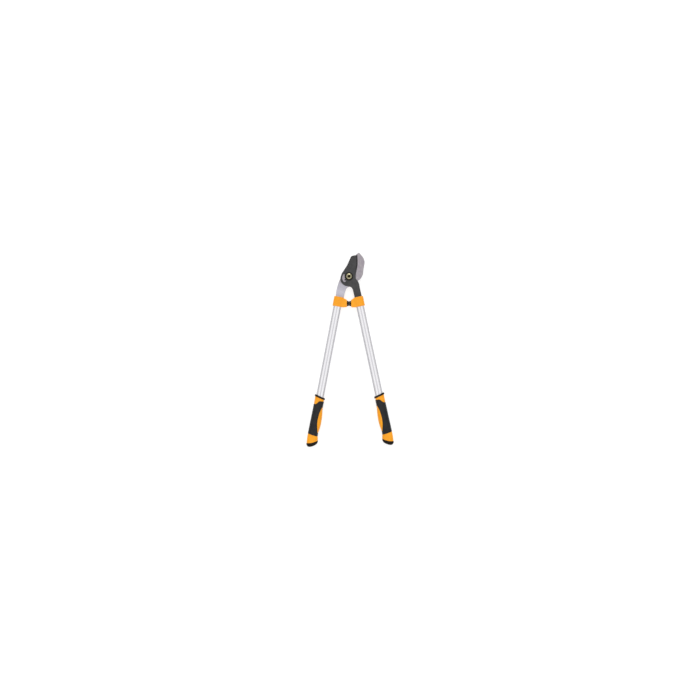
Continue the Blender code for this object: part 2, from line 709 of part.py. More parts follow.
def make_collar_screw(handle, frame, surface):
    """The pan-head screw on the back that keeps the collar on the tube."""
    seat = -COLLAR_HALF_THICKNESS - 0.3
    x, y, _ = handle.place(SCREW_PLACE, 0.0, 0.0)
    profile = (
        (2.2, seat - 2.0),
        (3.3, seat - 1.4),
        (3.5, seat - 0.4),
        (3.5, seat),
        (SCREW_RADIUS, seat),
        (SCREW_RADIUS, -5.6),
        (SCREW_RADIUS * 0.4, -4.6),
    )
    screw = solid(f"collar_screw_{handle.name}", *turned(profile, 14, (x, y)), frame, surface)
    for k, (a, b) in enumerate(((2.0, 0.45), (0.45, 2.0))):
        corners = [(x - a, y - b), (x + a, y - b), (x + a, y + b), (x - a, y + b)]
        combine(screw, solid(f"{screw.name}_cross_cutter_{k}", *prism(corners, seat - 5, seat - 1.0), frame))


def sleeve_region(handle, grow=0.0):
    """The outline, in the handle's frame, of what the soft sleeve covers, seen from the front."""
    far = 40.0
    top = [(u - grow, v) for u, v in smooth_run(SLEEVE_TOP, 2)]
    bottom = [(u + grow, v) for u, v in smooth_run(SLEEVE_BOTTOM, 2)]
    window = [(u, v - grow) for u, v in smooth_run(SLEEVE_WINDOW, 2)]
    outline = [
        (top[0][0], far),
        *top,
        (top[-1][0], -far),
        (window[0][0] - 1.0 + grow, -far),
        *window,
        (window[-1][0] + 1.0 - grow, -far),
        (bottom[0][0], -far),
        *bottom,
        (bottom[-1][0], far),
    ]
    return [handle.place(u + handle.extra, v, 0.0)[:2] for u, v in outline]


def grip_body(handle, stations, shrink=0.0):
    sections = []
    for station in stations:
        sections.append([handle.place(u + handle.extra, v, z) for u, v, z in grip_section(station, shrink)])
    points, faces = loft(sections)
    return points, [*faces[:-2], *strips(0), *strips(len(points) - GRIP_SIDES)]


def strips(first):
    """The faces that close a bowed section: strips between its front and back points."""
    pairs = [(first + k, first + GRIP_SIDES - 1 - k) for k in range(GRIP_SIDES // 2)]
    return [(a, b, d, c) for (a, c), (b, d) in zip(pairs, pairs[1:])]


def make_grip(handle, frame, surfaces):
    name = handle.name
    tube_hole = oval(TUBE_HALF_WIDTH + GAP, TUBE_HALF_THICKNESS + GAP, flute=FLUTE_DEPTH)
    bore_ends = [along(handle, tube_hole, u) for u in (430.0, TUBE_END + handle.extra + 0.5)]

    ring = solid(f"grip_ring_{name}", *grip_body(handle, RING_STATIONS), frame, surfaces["soft_black"])
    combine(ring, solid(f"{ring.name}_bore_cutter", *loft(bore_ends), frame))

    core = solid(f"grip_core_{name}", *grip_body(handle, GRIP_STATIONS), frame, surfaces["orange"])
    region = sleeve_region(handle, GAP)
    combine(core, solid(f"{core.name}_pocket_cutter", *prism(region, -30, 30), frame))
    under_sleeve = solid(
        f"{core.name}_under_sleeve", *grip_body(handle, middle_stations(), SLEEVE_THICKNESS + GAP), frame
    )
    combine(core, under_sleeve, "UNION")
    combine(core, solid(f"{core.name}_bore_cutter", *loft(bore_ends), frame))

    sleeve = solid(f"grip_sleeve_{name}", *grip_body(handle, GRIP_STATIONS), frame, surfaces["soft_black"])
    region = solid(f"{sleeve.name}_region", *prism(sleeve_region(handle), -30, 30), frame)
    combine(sleeve, region, "INTERSECT")
    inside = solid(f"{sleeve.name}_inside_cutter", *grip_body(handle, GRIP_STATIONS, SLEEVE_THICKNESS), frame)
    combine(sleeve, inside)

    solid(f"grip_cap_{name}", *grip_body(handle, CAP_STATIONS), frame, surfaces["soft_black"])


def middle_stations():
    """The grip's stations with both ends cut back, so that what is under the sleeve ends inside the core."""
    first = tuple(a + (b - a) * 0.35 for a, b in zip(GRIP_STATIONS[0], GRIP_STATIONS[1]))
    return (first, *GRIP_STATIONS[1:-1])


# ---------------------------------------------------------------- the tool


def make_materials():
    looks = {
        "coated_blade": ((0.062, 0.061, 0.064), 0.42, 0.35),
        "hook_steel": ((0.50, 0.48, 0.51), 0.38, 0.9),
        "steel": ((0.55, 0.55, 0.57), 0.35, 1.0),
        "bolt_zinc": ((0.42, 0.38, 0.24), 0.35, 0.9),
        "washer_black": ((0.02, 0.02, 0.02), 0.45, 0.3),
        "bronze": ((0.45, 0.28, 0.12), 0.4, 1.0),
        "aluminium": ((0.80, 0.79, 0.82), 0.28, 1.0),
        "nylon": ((0.05, 0.05, 0.05), 0.6, 0.0),
        "orange": ((0.95, 0.36, 0.02), 0.42, 0.0),
        "soft_black": ((0.03, 0.03, 0.032), 0.72, 0.0),
    }
    return {name: material(name, *look) for name, look in looks.items()}


def make_handle(handle, frame, head, plate_thickness, arm_edges, surfaces):
    make_tube(handle, frame, surfaces["aluminium"])
    make_adapter(handle, frame, plate_thickness, surfaces["nylon"])
    make_rivets(handle, frame, surfaces["steel"])
    collar = make_collar(handle, frame, plate_thickness, arm_edges, surfaces["orange"])
    make_bumper(handle, head, collar, surfaces["soft_black"])
    make_collar_screw(handle, frame, surfaces["steel"])
    make_grip(handle, frame, surfaces)


def main():
    for old in list(bpy.data.objects):
        bpy.data.objects.remove(old)
    surfaces = make_materials()
    hook_side = empty("hook_side", location=(0, 0, MID_HEIGHT))
    blade_side = empty("blade_side", parent=hook_side)
    left, right = Handle("left"), Handle("right")
    left_frame = empty("left_handle", hook_side, (*left.foot, 0.0), left.turn)
    right_frame = empty("right_handle", blade_side, (*right.foot, 0.0), right.turn)
    make_hook(left, hook_side, surfaces["hook_steel"])
    make_blade(right, blade_side, surfaces["coated_blade"])
    make_pivot(hook_side, surfaces)
    hook_arm = (HOOK_ARM_INNER[0][1], HOOK_ARM_OUTER[1][1])
    blade_arm = (BLADE_ARM_INNER[1][1], BLADE_ARM_OUTER[0][1])
    make_handle(left, left_frame, hook_side, HOOK_THICKNESS, hook_arm, surfaces)
    make_handle(right, right_frame, blade_side, BLADE_THICKNESS, blade_arm, surfaces)
    bpy.context.view_layer.update()


main()
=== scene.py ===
"""The finished look of the bypass loppers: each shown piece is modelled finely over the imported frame.

Sizes are millimetres and degrees. The head frame has the pivot at (0, 0), +Y towards the jaws and z = 0
on the tubes' axes. In a handle's frame u runs down the handle from the pivot, v points outwards and
v = 0 is the tube's axis.
"""

import math

import bmesh
import bpy
from mathutils import Matrix, Vector


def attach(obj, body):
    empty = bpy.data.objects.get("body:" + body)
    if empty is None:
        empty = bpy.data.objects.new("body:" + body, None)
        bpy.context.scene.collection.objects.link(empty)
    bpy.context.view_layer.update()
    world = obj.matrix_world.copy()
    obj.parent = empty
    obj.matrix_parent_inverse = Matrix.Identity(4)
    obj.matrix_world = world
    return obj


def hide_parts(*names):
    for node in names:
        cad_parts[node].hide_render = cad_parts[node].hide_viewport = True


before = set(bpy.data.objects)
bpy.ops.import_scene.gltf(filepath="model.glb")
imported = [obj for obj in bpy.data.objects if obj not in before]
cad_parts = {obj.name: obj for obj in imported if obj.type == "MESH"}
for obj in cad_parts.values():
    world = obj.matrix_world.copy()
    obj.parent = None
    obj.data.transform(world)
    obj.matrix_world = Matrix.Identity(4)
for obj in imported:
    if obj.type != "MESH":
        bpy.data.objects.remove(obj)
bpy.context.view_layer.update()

MM = 0.001
MID_HEIGHT = 17.0
# Each handle: side, angle, offset, extra length, body, its plate's arm edges and thickness
HANDLE_SHAPES = {
    "left": (-1, 10.9, 21.1, 1.5, "hook_side", (-17.0, 13.3), 6.0),
    "right": (1, 12.1, 16.9, -3.5, "blade_side", (-11.8, 13.6), 4.5),
}

# Jaws
BLADE_LOW, BLADE_HIGH = 0.15, 4.65
HOOK_LOW, HOOK_HIGH = -6.15, -0.15
BLADE_CHAMFER, HOOK_CHAMFER, WINDOW_BEVEL = 0.7, 1.3, 0.6
CRANK_START, CRANK_END, CRANK_BENDS = 48.0, 77.0, 10
TANG_START, TANG_END, TANG_HALF_WIDTH = 82.0, 124.0, 10.0
GRIND_WIDTH, GRIND_FADE = 5.0, 46.0
HONED_WIDTH, HONED_LIFT = 0.6, 0.5
STOP_PIN_RADIUS, STOP_PIN_TRACK, STOP_PIN_ANGLE = 2.5, 18.85, 221.8
PIVOT_HOLE = 7.1
BEYOND = 20.0  # how far a through hole's cutter stands out
RECESS_RADIUS, RECESS_DEPTH = 12.3, 1.25

CUTTING_EDGE = (
    *((24.8, -8.5), (24.7, 2.0), (27.4, 19.5), (30.0, 31.0)),
    *((31.7, 43.0), (32.0, 60.0), (31.0, 77.4)),
)
BLADE_TOP = ((31.0, 77.4), (18.5, 76.3), (11.0, 74.4), (6.6, 71.0))
BLADE_SPINE = (
    *((6.6, 71.0), (1.7, 59.5), (-7.6, 39.4), (-14.7, 28.5)),
    *((-19.3, 21.2), (-24.4, 13.9), (-27.5, 8.0)),
)
HEEL_CENTRE, HEEL_RADIUS = (-3.8, -8.5), 27.6
HEEL_FIRST, HEEL_LAST = 155.0, 255.0
BLADE_CROTCH = ((-3.8, -35.9), (2.4, -37.6), (9.4, -41.6), (13.6, -48.8))
BLADE_ARM_INNER = ((60.0, -13.4), (82.0, -13.0))
BLADE_ARM_OUTER = ((82.0, 13.6), (60.0, 13.2))
BLADE_SHOULDER = ((39.6, -41.0), (37.2, -28.5), (33.6, -19.6), (28.0, -12.4))
BLADE_WINDOW = (
    *((-14.95, 5.3), (-15.4, 7.5), (-17.9, 8.9), (-20.6, 7.3), (-22.5, 4.0)),
    *((-24.3, 0.0), (-25.4, -4.5), (-25.2, -9.0), (-23.8, -13.2), (-21.8, -17.0)),
    *((-19.4, -19.9), (-16.4, -21.0), (-13.5, -20.0), (-11.9, -17.4), (-11.2, -13.6)),
    *((-12.6, -9.6), (-14.6, -6.1), (-15.7, -2.0), (-15.75, 2.0)),
)

HOOK_TIP = ((36.4, 87.5), (25.2, 79.2))
HOOK_MOUTH = (
    *((23.2, 75.4), (25.6, 67.0), (27.4, 55.0), (26.6, 41.0)),
    *((23.6, 30.0), (18.6, 21.0), (16.3, 16.3)),
)
HOOK_DISC_RADIUS = 24.2
HOOK_DISC_FIRST, HOOK_DISC_LAST = 52.0, 160.0
HOOK_BACK = ((-26.0, 3.0), (-31.0, -7.5), (-34.4, -13.4), (-36.9, -19.9), (-39.6, -27.5), (-42.2, -36.5))
HOOK_ARM_OUTER = ((60.0, 14.3), (82.0, 12.6))
HOOK_ARM_INNER = ((82.0, -16.6), (64.0, -17.1))
HOOK_CROTCH = ((-13.0, -53.0), (-8.6, -43.4), (-1.8, -39.4), (5.0, -37.0), (14.0, -31.0), (24.0, -22.0))
HOOK_LOBE = ((24.0, -22.0), (32.0, -16.0), (39.6, -11.8), (46.6, -2.0), (51.2, 9.0), (52.7, 24.0))
HOOK_OUTER = (
    *((52.7, 24.0), (55.2, 38.0), (57.0, 49.0), (56.5, 57.0)),
    *((53.3, 66.0), (48.8, 72.8), (36.4, 87.5)),
)

# Pivot, with heights in the head frame
BOLT_HEAD_RADIUS, BOLT_HEAD_LOW, BOLT_HEAD_HEIGHT = 11.0, 6.75, 4.9
BOLT_SHANK_RADIUS = 5.0
SOCKET_HALF_WIDTH, SOCKET_DEPTH, SOCKET_COUNTERSINK = 4.0, 4.6, 1.6
WASHER_BORE, WASHER_THICKNESS, WASHER_ROUNDING = 5.3, 1.5, 0.4
FRONT_WASHER_RADIUS, FRONT_WASHER_LOW = 15.0, 4.95
BACK_WASHER_RADIUS, BACK_WASHER_LOW = 12.0, -7.85
NUT_HALF_WIDTH, NUT_HIGH, NUT_POINTS, NUT_BORE = 8.5, -8.05, 144, 5.2
NUT_DOME = ((7.6, -15.1), (7.5, -15.9), (7.2, -16.35), (6.6, -16.6), (5.6, -16.6))

# Tubes, collars and bumpers
TUBE_HALF_WIDTH, TUBE_HALF_THICKNESS, TUBE_WALL = 14.5, 9.5, 1.5
TUBE_START, TUBE_END = 84.0, 605.0
FLUTE_DEPTH, FLUTE_HALF_WIDTH = 1.2, 2.5
COLLAR_START, COLLAR_END = 80.0, 116.0
COLLAR_HALF_WIDTH, COLLAR_HALF_THICKNESS = 18.2, 14.0
NOSE_HALF_THICKNESS, NOSE_FACE = 12.0, 7.3
NOSE_TOP, NOSE_BOTTOM = -86.0, -112.0
COLLAR_POWER, COLLAR_CENTRE = 2.6, -6.0
BUMPER_Y, BUMPER_RADIUS = -99.3, 10.0
BUMPER_TIP, BUMPER_FACE = 0.15, 7.0  # distances from the tool's middle
SCREW_PLACE, SCREW_SEAT, SCREW_HEAD_RADIUS, SCREW_RADIUS = 99.5, -14.3, 3.5, 1.75

# Grips, at stations down the handle: u and v of the outer edge, u and v of the inner edge, half the
# thickness, and how far the middle of the station bows down the handle
GRIP_STATIONS = (
    (451.0, 18.0, 459.5, -18.0, 15.0, 0.0),
    (467.0, 17.6, 470.0, -18.0, 15.2, 0.0),
    (481.0, 17.5, 482.0, -18.0, 15.6, 0.0),
    (499.0, 17.6, 499.0, -19.6, 16.4, 0.0),
    (515.0, 17.8, 515.0, -21.9, 17.0, 0.0),
    (543.0, 18.0, 543.0, -23.4, 17.0, 0.0),
    (566.0, 18.3, 566.0, -22.0, 17.0, 0.0),
    (582.0, 18.3, 582.0, -19.0, 16.2, 0.0),
    (592.0, 18.6, 592.0, -19.4, 15.9, 0.3),
    (606.0, 18.5, 600.0, -21.8, 16.3, 1.6),
    (625.2, 16.8, 607.8, -23.4, 16.0, 3.5),
)
CAP_STATIONS = (
    (625.6, 16.8, 608.2, -23.4, 16.0, 3.5),
    (630.0, 16.2, 614.2, -23.5, 15.6, 3.4),
    (634.2, 13.4, 621.3, -21.3, 13.6, 3.0),
    (637.2, 9.2, 628.2, -14.6, 10.0, 1.8),
    (637.3, 3.8, 633.5, -5.6, 5.4, 0.6),
    (636.3, 0.2, 635.5, -2.0, 0.8, 0.0),
)
RING_TOP, RING_BOTTOM = (444.2, 452.7), (450.7, 459.2)  # u at the outer and inner edge
RING_REACH, RING_HALF_THICKNESS, RING_ROUNDING, RING_STEPS = 19.9, 16.5, 1.6, 20
SLEEVE_TOP = ((479.8, 15.4), (478.4, 9.2), (473.3, 4.4), (468.4, 0.4), (465.8, -5.0), (465.2, -16.0))
SLEEVE_WINDOW = ((487.0, -16.4), (499.0, -12.5), (512.0, -9.7), (533.0, -8.1), (554.0, -10.0), (581.0, -17.2))
SLEEVE_BOTTOM = ((589.8, 17.2), (591.8, 4.5), (593.5, -7.0), (593.6, -19.7))
GRIP_POWER, GRIP_POINTS = 2.4, 112
SLEEVE_THICKNESS, SLEEVE_ROUNDING = 1.6, 1.3
CORE_STEP = 0.35
SEAM = 0.13
GRIP_BORE_START, RING_BORE_END = 440.0, 465.0
NECK_END, NECK_FADE = 484.0, 7.0

# Studio
SKY = ((0.0, 0.42), (0.25, 0.42), (0.5, 0.52), (0.7, 0.73), (0.87, 0.97), (1.0, 1.0))
LAMPS = (("key_light", 1.15, 30, -52), ("fill_light", 0.5, 60, 55))  # name, strength, spread and tilt
FLOOR_HALF_WIDTH, FLOOR_Z = 12000.0, -0.3
CAMERA_SPOT, CAMERA_DISTANCE, VIEW_WIDTH = (0.00365, -0.269, 5.02), 5.0, 2.555  # metres
SENSOR_WIDTH = 36.0


# Points and outlines


class Handle:
    def __init__(self, name):
        self.name = name
        self.side, angle, offset, self.extra, self.body, *arm = HANDLE_SHAPES[name]
        self.arm_edges, self.arm_thickness = arm
        self.turn = math.radians(self.side * angle)
        self.foot = offset * self.side * Vector((math.cos(self.turn), math.sin(self.turn)))
        place = Matrix.Translation(Vector((*self.foot, MID_HEIGHT)) * MM)
        self.matrix = place @ Matrix.Rotation(self.turn, 4, "Z")

    def place(self, u, v, z):
        return self.side * v, -u, z

    def to_head(self, u, v):
        x, y = self.side * v, -u
        cos, sin = math.cos(self.turn), math.sin(self.turn)
        return self.foot.x + x * cos - y * sin, self.foot.y + x * sin + y * cos

    def from_head(self, x, y):
        x, y = x - self.foot.x, y - self.foot.y
        cos, sin = math.cos(self.turn), math.sin(self.turn)
        return x * sin - y * cos, self.side * (x * cos + y * sin)


HEAD = Matrix.Translation((0, 0, MID_HEIGHT * MM))


def catmull_rom(p, q, r, s, t):
    square, cube = 2 * p - 5 * q + 4 * r - s, 3 * q - p - 3 * r + s
    return 0.5 * (2 * q + (r - p) * t + square * t**2 + cube * t**3)


def smooth_run(points, steps=8):
    """A Catmull-Rom curve through the points, with that many steps between neighbours."""
    ends = [points[0], *points, points[-1]]
    curve = []
    for near in zip(ends, ends[1:], ends[2:], ends[3:]):
        for k in range(steps):
            curve.append(tuple(catmull_rom(*values, k / steps) for values in zip(*near)))
    return [*curve, tuple(points[-1])]


def arc(centre, radius, first, last, steps):
    angles = [math.radians(first + (last - first) * k / steps) for k in range(steps + 1)]
    return [(centre[0] + radius * math.cos(a), centre[1] + radius * math.sin(a)) for a in angles]


def without_repeats(points):
    kept = []
    for p in points:
        if not kept or math.dist(p, kept[-1]) > 1e-4:
            kept.append(p)
    return kept if math.dist(kept[0], kept[-1]) > 1e-4 else kept[:-1]


def value_at(curve, x, column=0):
    """The curve's other coordinate where its column is x. The curve runs steadily in that column."""
    points = sorted(curve, key=lambda p: p[column])
    other = 1 - column
    if x <= points[0][column]:
        return points[0][other]
    for p, q in zip(points, points[1:]):
        if x <= q[column]:
            return p[other] + (q[other] - p[other]) * (x - p[column]) / max(q[column] - p[column], 1e-9)
    return points[-1][other]


def inset(outline, width):
    """The counter-clockwise outline moved inwards by width."""
    moved = []
    for k, point in enumerate(outline):
        here = Vector(point)
        into = (here - Vector(outline[k - 1])).normalized()
        out_of = (Vector(outline[(k + 1) % len(outline)]) - here).normalized()
        n1, n2 = Vector((-into.y, into.x)), Vector((-out_of.y, out_of.x))
        middle = (n1 + n2).normalized()
        moved.append(tuple(here + middle * width / max(0.35, middle.dot(n1))))
    return moved


def oval(half_width, half_thickness, power=2.3, count=128, flute=0.0):
    """Points (v, z) round a superellipse, with an optional flute along the middle of its two broad faces."""
    points = []
    for k in range(count):
        angle = 2 * math.pi * (k + 0.5) / count
        cos, sin = math.cos(angle), math.sin(angle)
        v = half_width * math.copysign(abs(cos) ** (2 / power), cos)
        z = half_thickness * math.copysign(abs(sin) ** (2 / power), sin)
        z -= math.copysign(flute * math.exp(-((v / FLUTE_HALF_WIDTH) ** 2)), sin) if abs(sin) > 0.4 else 0.0
        points.append((v, z))
    return points


def grip_section(station):
    u_out, v_out, u_in, v_in, half, bow = station
    points = []
    for k in range(GRIP_POINTS):
        angle = 2 * math.pi * (k + 0.5) / GRIP_POINTS
        cos, sin = math.cos(angle), math.sin(angle)
        across = 0.99 * math.copysign(abs(cos) ** (2 / GRIP_POWER), cos)
        z = 1.04 * half * math.copysign(abs(sin) ** (2 / GRIP_POWER), sin)
        z = math.copysign(soft_limit(abs(z), half - 0.05, 0.8), z)
        share = (1 + across) / 2
        u = u_in + (u_out - u_in) * share + bow * (1 - across**2)
        points.append((u, v_in + (v_out - v_in) * share, z))
    return points


def soft_limit(value, limit, softness):
    """value, turned smoothly to stay under limit."""
    over = (value - limit) / softness + 1
    return value if over < 0 else limit - softness + softness * math.tanh(over)


def rounded(distance, radius):
    """How far a rounded edge has dropped at this distance inside it."""
    run = max(0.0, radius - max(0.0, distance))
    return radius - math.sqrt(radius * radius - run * run)


# Meshes


def mesh_of(name, points, faces, indices=None):
    mesh = bpy.data.meshes.new(name)
    mesh.from_pydata([Vector(p) * MM for p in points], [], faces)
    if indices:
        mesh.polygons.foreach_set("material_index", indices)
    work = bmesh.new()
    work.from_mesh(mesh)
    bmesh.ops.recalc_face_normals(work, faces=work.faces)
    work.to_mesh(mesh)
    work.free()
    return mesh


def loft(sections, capped=True):
    count = len(sections[0])
    points = [p for section in sections for p in section]
    faces = []
    for level in range(len(sections) - 1):
        for k in range(count):
            a, b = level * count + k, level * count + (k + 1) % count
            faces.append((a, b, b + count, a + count))
    if capped:
        faces.append(tuple(range(count)))
        faces.append(tuple(range(len(points) - count, len(points))))
    return points, faces


def strips(ring):
    """The faces that close a bowed section: strips between its front and back corners."""
    pairs = list(zip(ring, reversed(ring)))[: len(ring) // 2]
    return [(a, b, d, c) for (a, c), (b, d) in zip(pairs, pairs[1:])]


def bowed_loft(sections):
    points, faces = loft(sections, capped=False)
    corners = list(range(len(points)))
    count = len(sections[0])
    return points, [*faces, *strips(corners[:count]), *strips(corners[-count:])]


def closed_loft(sections):
    """A body whose sections run round in a ring, such as a tube's wall."""
    count = len(sections[0])
    points = [p for section in sections for p in section]
    faces = []
    for level in range(len(sections)):
        for k in range(count):
            a, b = level * count + k, level * count + (k + 1) % count
            c, d = (b + count) % len(points), (a + count) % len(points)
            faces.append((a, b, c, d))
    return points, faces


def circle(radius, z, count=96, centre=(0.0, 0.0)):
    angles = [2 * math.pi * k / count for k in range(count)]
    return [(centre[0] + radius * math.cos(a), centre[1] + radius * math.sin(a), z) for a in angles]


def turned(profile, count=96, centre=(0.0, 0.0)):
    return loft([circle(r, z, count, centre) for r, z in profile])


def turned_ring(profile, count=96):
    return closed_loft([circle(r, z, count) for r, z in profile])


def prism(outline, low, high):
    return loft([[(x, y, low) for x, y in outline], [(x, y, high) for x, y in outline]])


def round_corners(profile, radius, steps=4):
    """The open (r, z) profile with each inner corner replaced by a small curve."""
    points = [profile[0]]
    for a, b, c in zip(profile, profile[1:], profile[2:]):
        a, b, c = Vector(a), Vector(b), Vector(c)
        reach = min(radius, (b - a).length * 0.45, (c - b).length * 0.45)
        first, last = b + (a - b).normalized() * reach, b + (c - b).normalized() * reach
        for k in range(steps + 1):
            t = k / steps
            points.append(tuple(first * (1 - t) ** 2 + b * 2 * t * (1 - t) + last * t**2))
    return [*points, profile[-1]]


def add(name, mesh, matrix=HEAD, surfaces=(), sharp=35.0):
    mesh.transform(HEAD.inverted() @ matrix)
    made = bpy.data.objects.new(name, mesh)
    bpy.context.scene.collection.objects.link(made)
    made.matrix_world = HEAD
    for surface in surfaces:
        mesh.materials.append(surface)
    shade(mesh, sharp)
    return made


def cut(body, points_and_faces, index=0, matrix=HEAD):
    """Cuts a closed shape out of the body. The new faces take that material index, or one index each."""
    points, faces = points_and_faces
    indices = index if isinstance(index, list) else [index] * len(faces)
    mesh = mesh_of("cutter", points, faces, indices)
    for surface in body.data.materials:
        mesh.materials.append(surface)
    tool = bpy.data.objects.new("cutter", mesh)
    bpy.context.scene.collection.objects.link(tool)
    tool.matrix_world = matrix
    step = body.modifiers.new("cut", "BOOLEAN")
    step.operation, step.solver, step.object = "DIFFERENCE", "EXACT", tool
    bpy.context.view_layer.update()
    seen = body.evaluated_get(bpy.context.evaluated_depsgraph_get())
    old, body.data = body.data, bpy.data.meshes.new_from_object(seen)
    body.modifiers.clear()
    bpy.data.objects.remove(tool)
    for spent in (old, mesh):
        bpy.data.meshes.remove(spent)


def shade(mesh, sharp):
    """Smooth shading, apart from edges sharper than this angle."""
    mesh.shade_smooth()
    mesh.set_sharp_from_angle(angle=math.radians(sharp))


def even_normals(body):
    step = body.modifiers.new("even_normals", "WEIGHTED_NORMAL")
    step.keep_sharp = True
    step.weight = 60


def shown(body, rides_on, slot, *nodes):
    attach(body, rides_on)
    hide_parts(*nodes)
    return body


# Materials


class Look:
    """A Principled material with node patterns in the head frame, or a handle's, sized in millimetres."""

    def __init__(self, name, roughness=0.5, metallic=0.0, handle=None, **extra):
        self.material = bpy.data.materials.new(name)
        self.material.use_nodes = True
        self.tree = self.material.node_tree
        self.shader = self.tree.nodes["Principled BSDF"]
        self.shader.inputs["Roughness"].default_value = roughness
        self.shader.inputs["Metallic"].default_value = metallic
        for socket, value in extra.items():
            self.shader.inputs[socket.replace("_", " ")].default_value = value
        self.where = self.node("ShaderNodeTexCoord").outputs["Object"]
        if handle:
            self.where = self.placed((*handle.foot * MM, 0.0), handle.turn, (1, 1, 1))
        self.heights = []

    def node(self, kind, **values):
        made = self.tree.nodes.new(kind)
        for name, value in values.items():
            setattr(made, name, value)
        return made

    def link(self, source, target):
        if hasattr(source, "links"):
            self.tree.links.new(source, target)
        else:
            target.default_value = source

    def placed(self, origin, turn, size):
        """The coordinates seen from a pattern that is moved, turned and sized."""
        mapping = self.node("ShaderNodeMapping", vector_type="TEXTURE")
        self.link(self.where, mapping.inputs["Vector"])
        mapping.inputs["Location"].default_value = origin
        mapping.inputs["Rotation"].default_value = (0, 0, turn)
        mapping.inputs["Scale"].default_value = size
        return mapping.outputs[0]

    def scaled(self, size, stretch=(1, 1, 1), turn=0.0):
        return self.placed((0, 0, 0), turn, [size * s * MM for s in stretch])

    def noise(self, size, stretch=(1, 1, 1), detail=3.0, turn=0.0):
        made = self.node("ShaderNodeTexNoise")
        self.link(self.scaled(size, stretch, turn), made.inputs["Vector"])
        made.inputs["Scale"].default_value = 1.0
        made.inputs["Detail"].default_value = detail
        return made.outputs[0]

    def cells(self, size):
        made = self.node("ShaderNodeTexVoronoi")
        self.link(self.scaled(size), made.inputs["Vector"])
        made.inputs["Scale"].default_value = 1.0
        return made.outputs["Distance"]

    def span(self, source, low, high, to_low=0.0, to_high=1.0):
        made = self.node("ShaderNodeMapRange")
        self.link(source, made.inputs["Value"])
        for name, value in (("From Min", low), ("From Max", high), ("To Min", to_low), ("To Max", to_high)):
            self.link(value, made.inputs[name])
        return made.outputs[0]

    def math(self, operation, a, b=0.0):
        made = self.node("ShaderNodeMath", operation=operation)
        self.link(a, made.inputs[0])
        self.link(b, made.inputs[1])
        return made.outputs[0]

    def axis(self, name):
        split = self.node("ShaderNodeSeparateXYZ")
        self.link(self.where, split.inputs[0])
        return split.outputs[name]

    def mix(self, factor, a, b):
        made = self.node("ShaderNodeMix", data_type="RGBA")
        self.link(factor, made.inputs[0])
        for value, socket in ((a, made.inputs[6]), (b, made.inputs[7])):
            self.link(value if hasattr(value, "links") else (*value, 1.0), socket)
        return made.outputs[2]

    def edges(self, radius, low=0.02, high=0.12):
        """1 near the edges, 0 elsewhere."""
        soft = self.node("ShaderNodeBevel", samples=4)
        soft.inputs["Radius"].default_value = radius * MM
        true = self.node("ShaderNodeNewGeometry")
        dot = self.node("ShaderNodeVectorMath", operation="DOT_PRODUCT")
        self.link(soft.outputs[0], dot.inputs[0])
        self.link(true.outputs["Normal"], dot.inputs[1])
        return self.span(self.math("SUBTRACT", 1.0, dot.outputs["Value"]), low, high)

    def colour(self, value):
        self.link(value if hasattr(value, "links") else (*value, 1.0), self.shader.inputs["Base Color"])

    def roughness(self, value):
        self.link(value, self.shader.inputs["Roughness"])

    def bump(self, height, depth):
        """Adds a relief of this depth in millimetres."""
        made = self.node("ShaderNodeBump")
        made.inputs["Distance"].default_value = depth * MM
        self.link(height, made.inputs["Height"])
        if self.heights:
            self.link(self.heights[-1], made.inputs["Normal"])
        self.heights.append(made.outputs[0])
        self.link(made.outputs[0], self.shader.inputs["Normal"])


def coated_steel(name, dark, light, lines=False):
    """The dark low-friction coating: a fine orange-peel grain, paler specks, and worn edges."""
    look = Look(name, metallic=0.25)
    tone = look.mix(look.span(look.noise(14, detail=5), 0.3, 0.7), dark, light)
    specks = look.span(look.noise(0.7, detail=2), 0.66, 0.76, 0.0, 0.35)
    tone = look.mix(specks, tone, [min(1.0, 2.2 * c) for c in light])
    worn = look.math("MULTIPLY", look.edges(0.5), look.span(look.noise(3.0, detail=6), 0.5, 0.62, 0.0, 0.55))
    look.colour(look.mix(worn, tone, (0.30, 0.30, 0.31)))
    look.roughness(look.span(look.noise(5, detail=6), 0.3, 0.7, 0.34, 0.50))
    if lines:
        look.bump(look.noise(0.35, (40, 1, 1), detail=4, turn=0.12), 0.03)
    look.bump(look.noise(0.6, detail=3), 0.025)
    return look.material


def ground_steel(name, dark, light, turn):
    """Bare steel with the lines of the grinder."""
    look = Look(name, metallic=1.0)
    lines = look.noise(0.5, (60, 1, 4), detail=5, turn=turn)
    tone = look.mix(look.span(lines, 0.25, 0.75), dark, light)
    cloud = look.span(look.noise(22, detail=4), 0.35, 0.7, 0.0, 0.5)
    tone = look.mix(cloud, tone, [c * (0.86 if k == 1 else 0.9) for k, c in enumerate(light)])
    look.colour(tone)
    look.roughness(look.span(look.noise(0.8, (30, 1, 1), detail=5, turn=turn), 0.25, 0.75, 0.24, 0.44))
    look.bump(lines, 0.018)
    look.bump(look.span(look.noise(1.1, (25, 1, 1), detail=2, turn=turn + 0.5), 0.72, 0.78), 0.01)
    return look.material


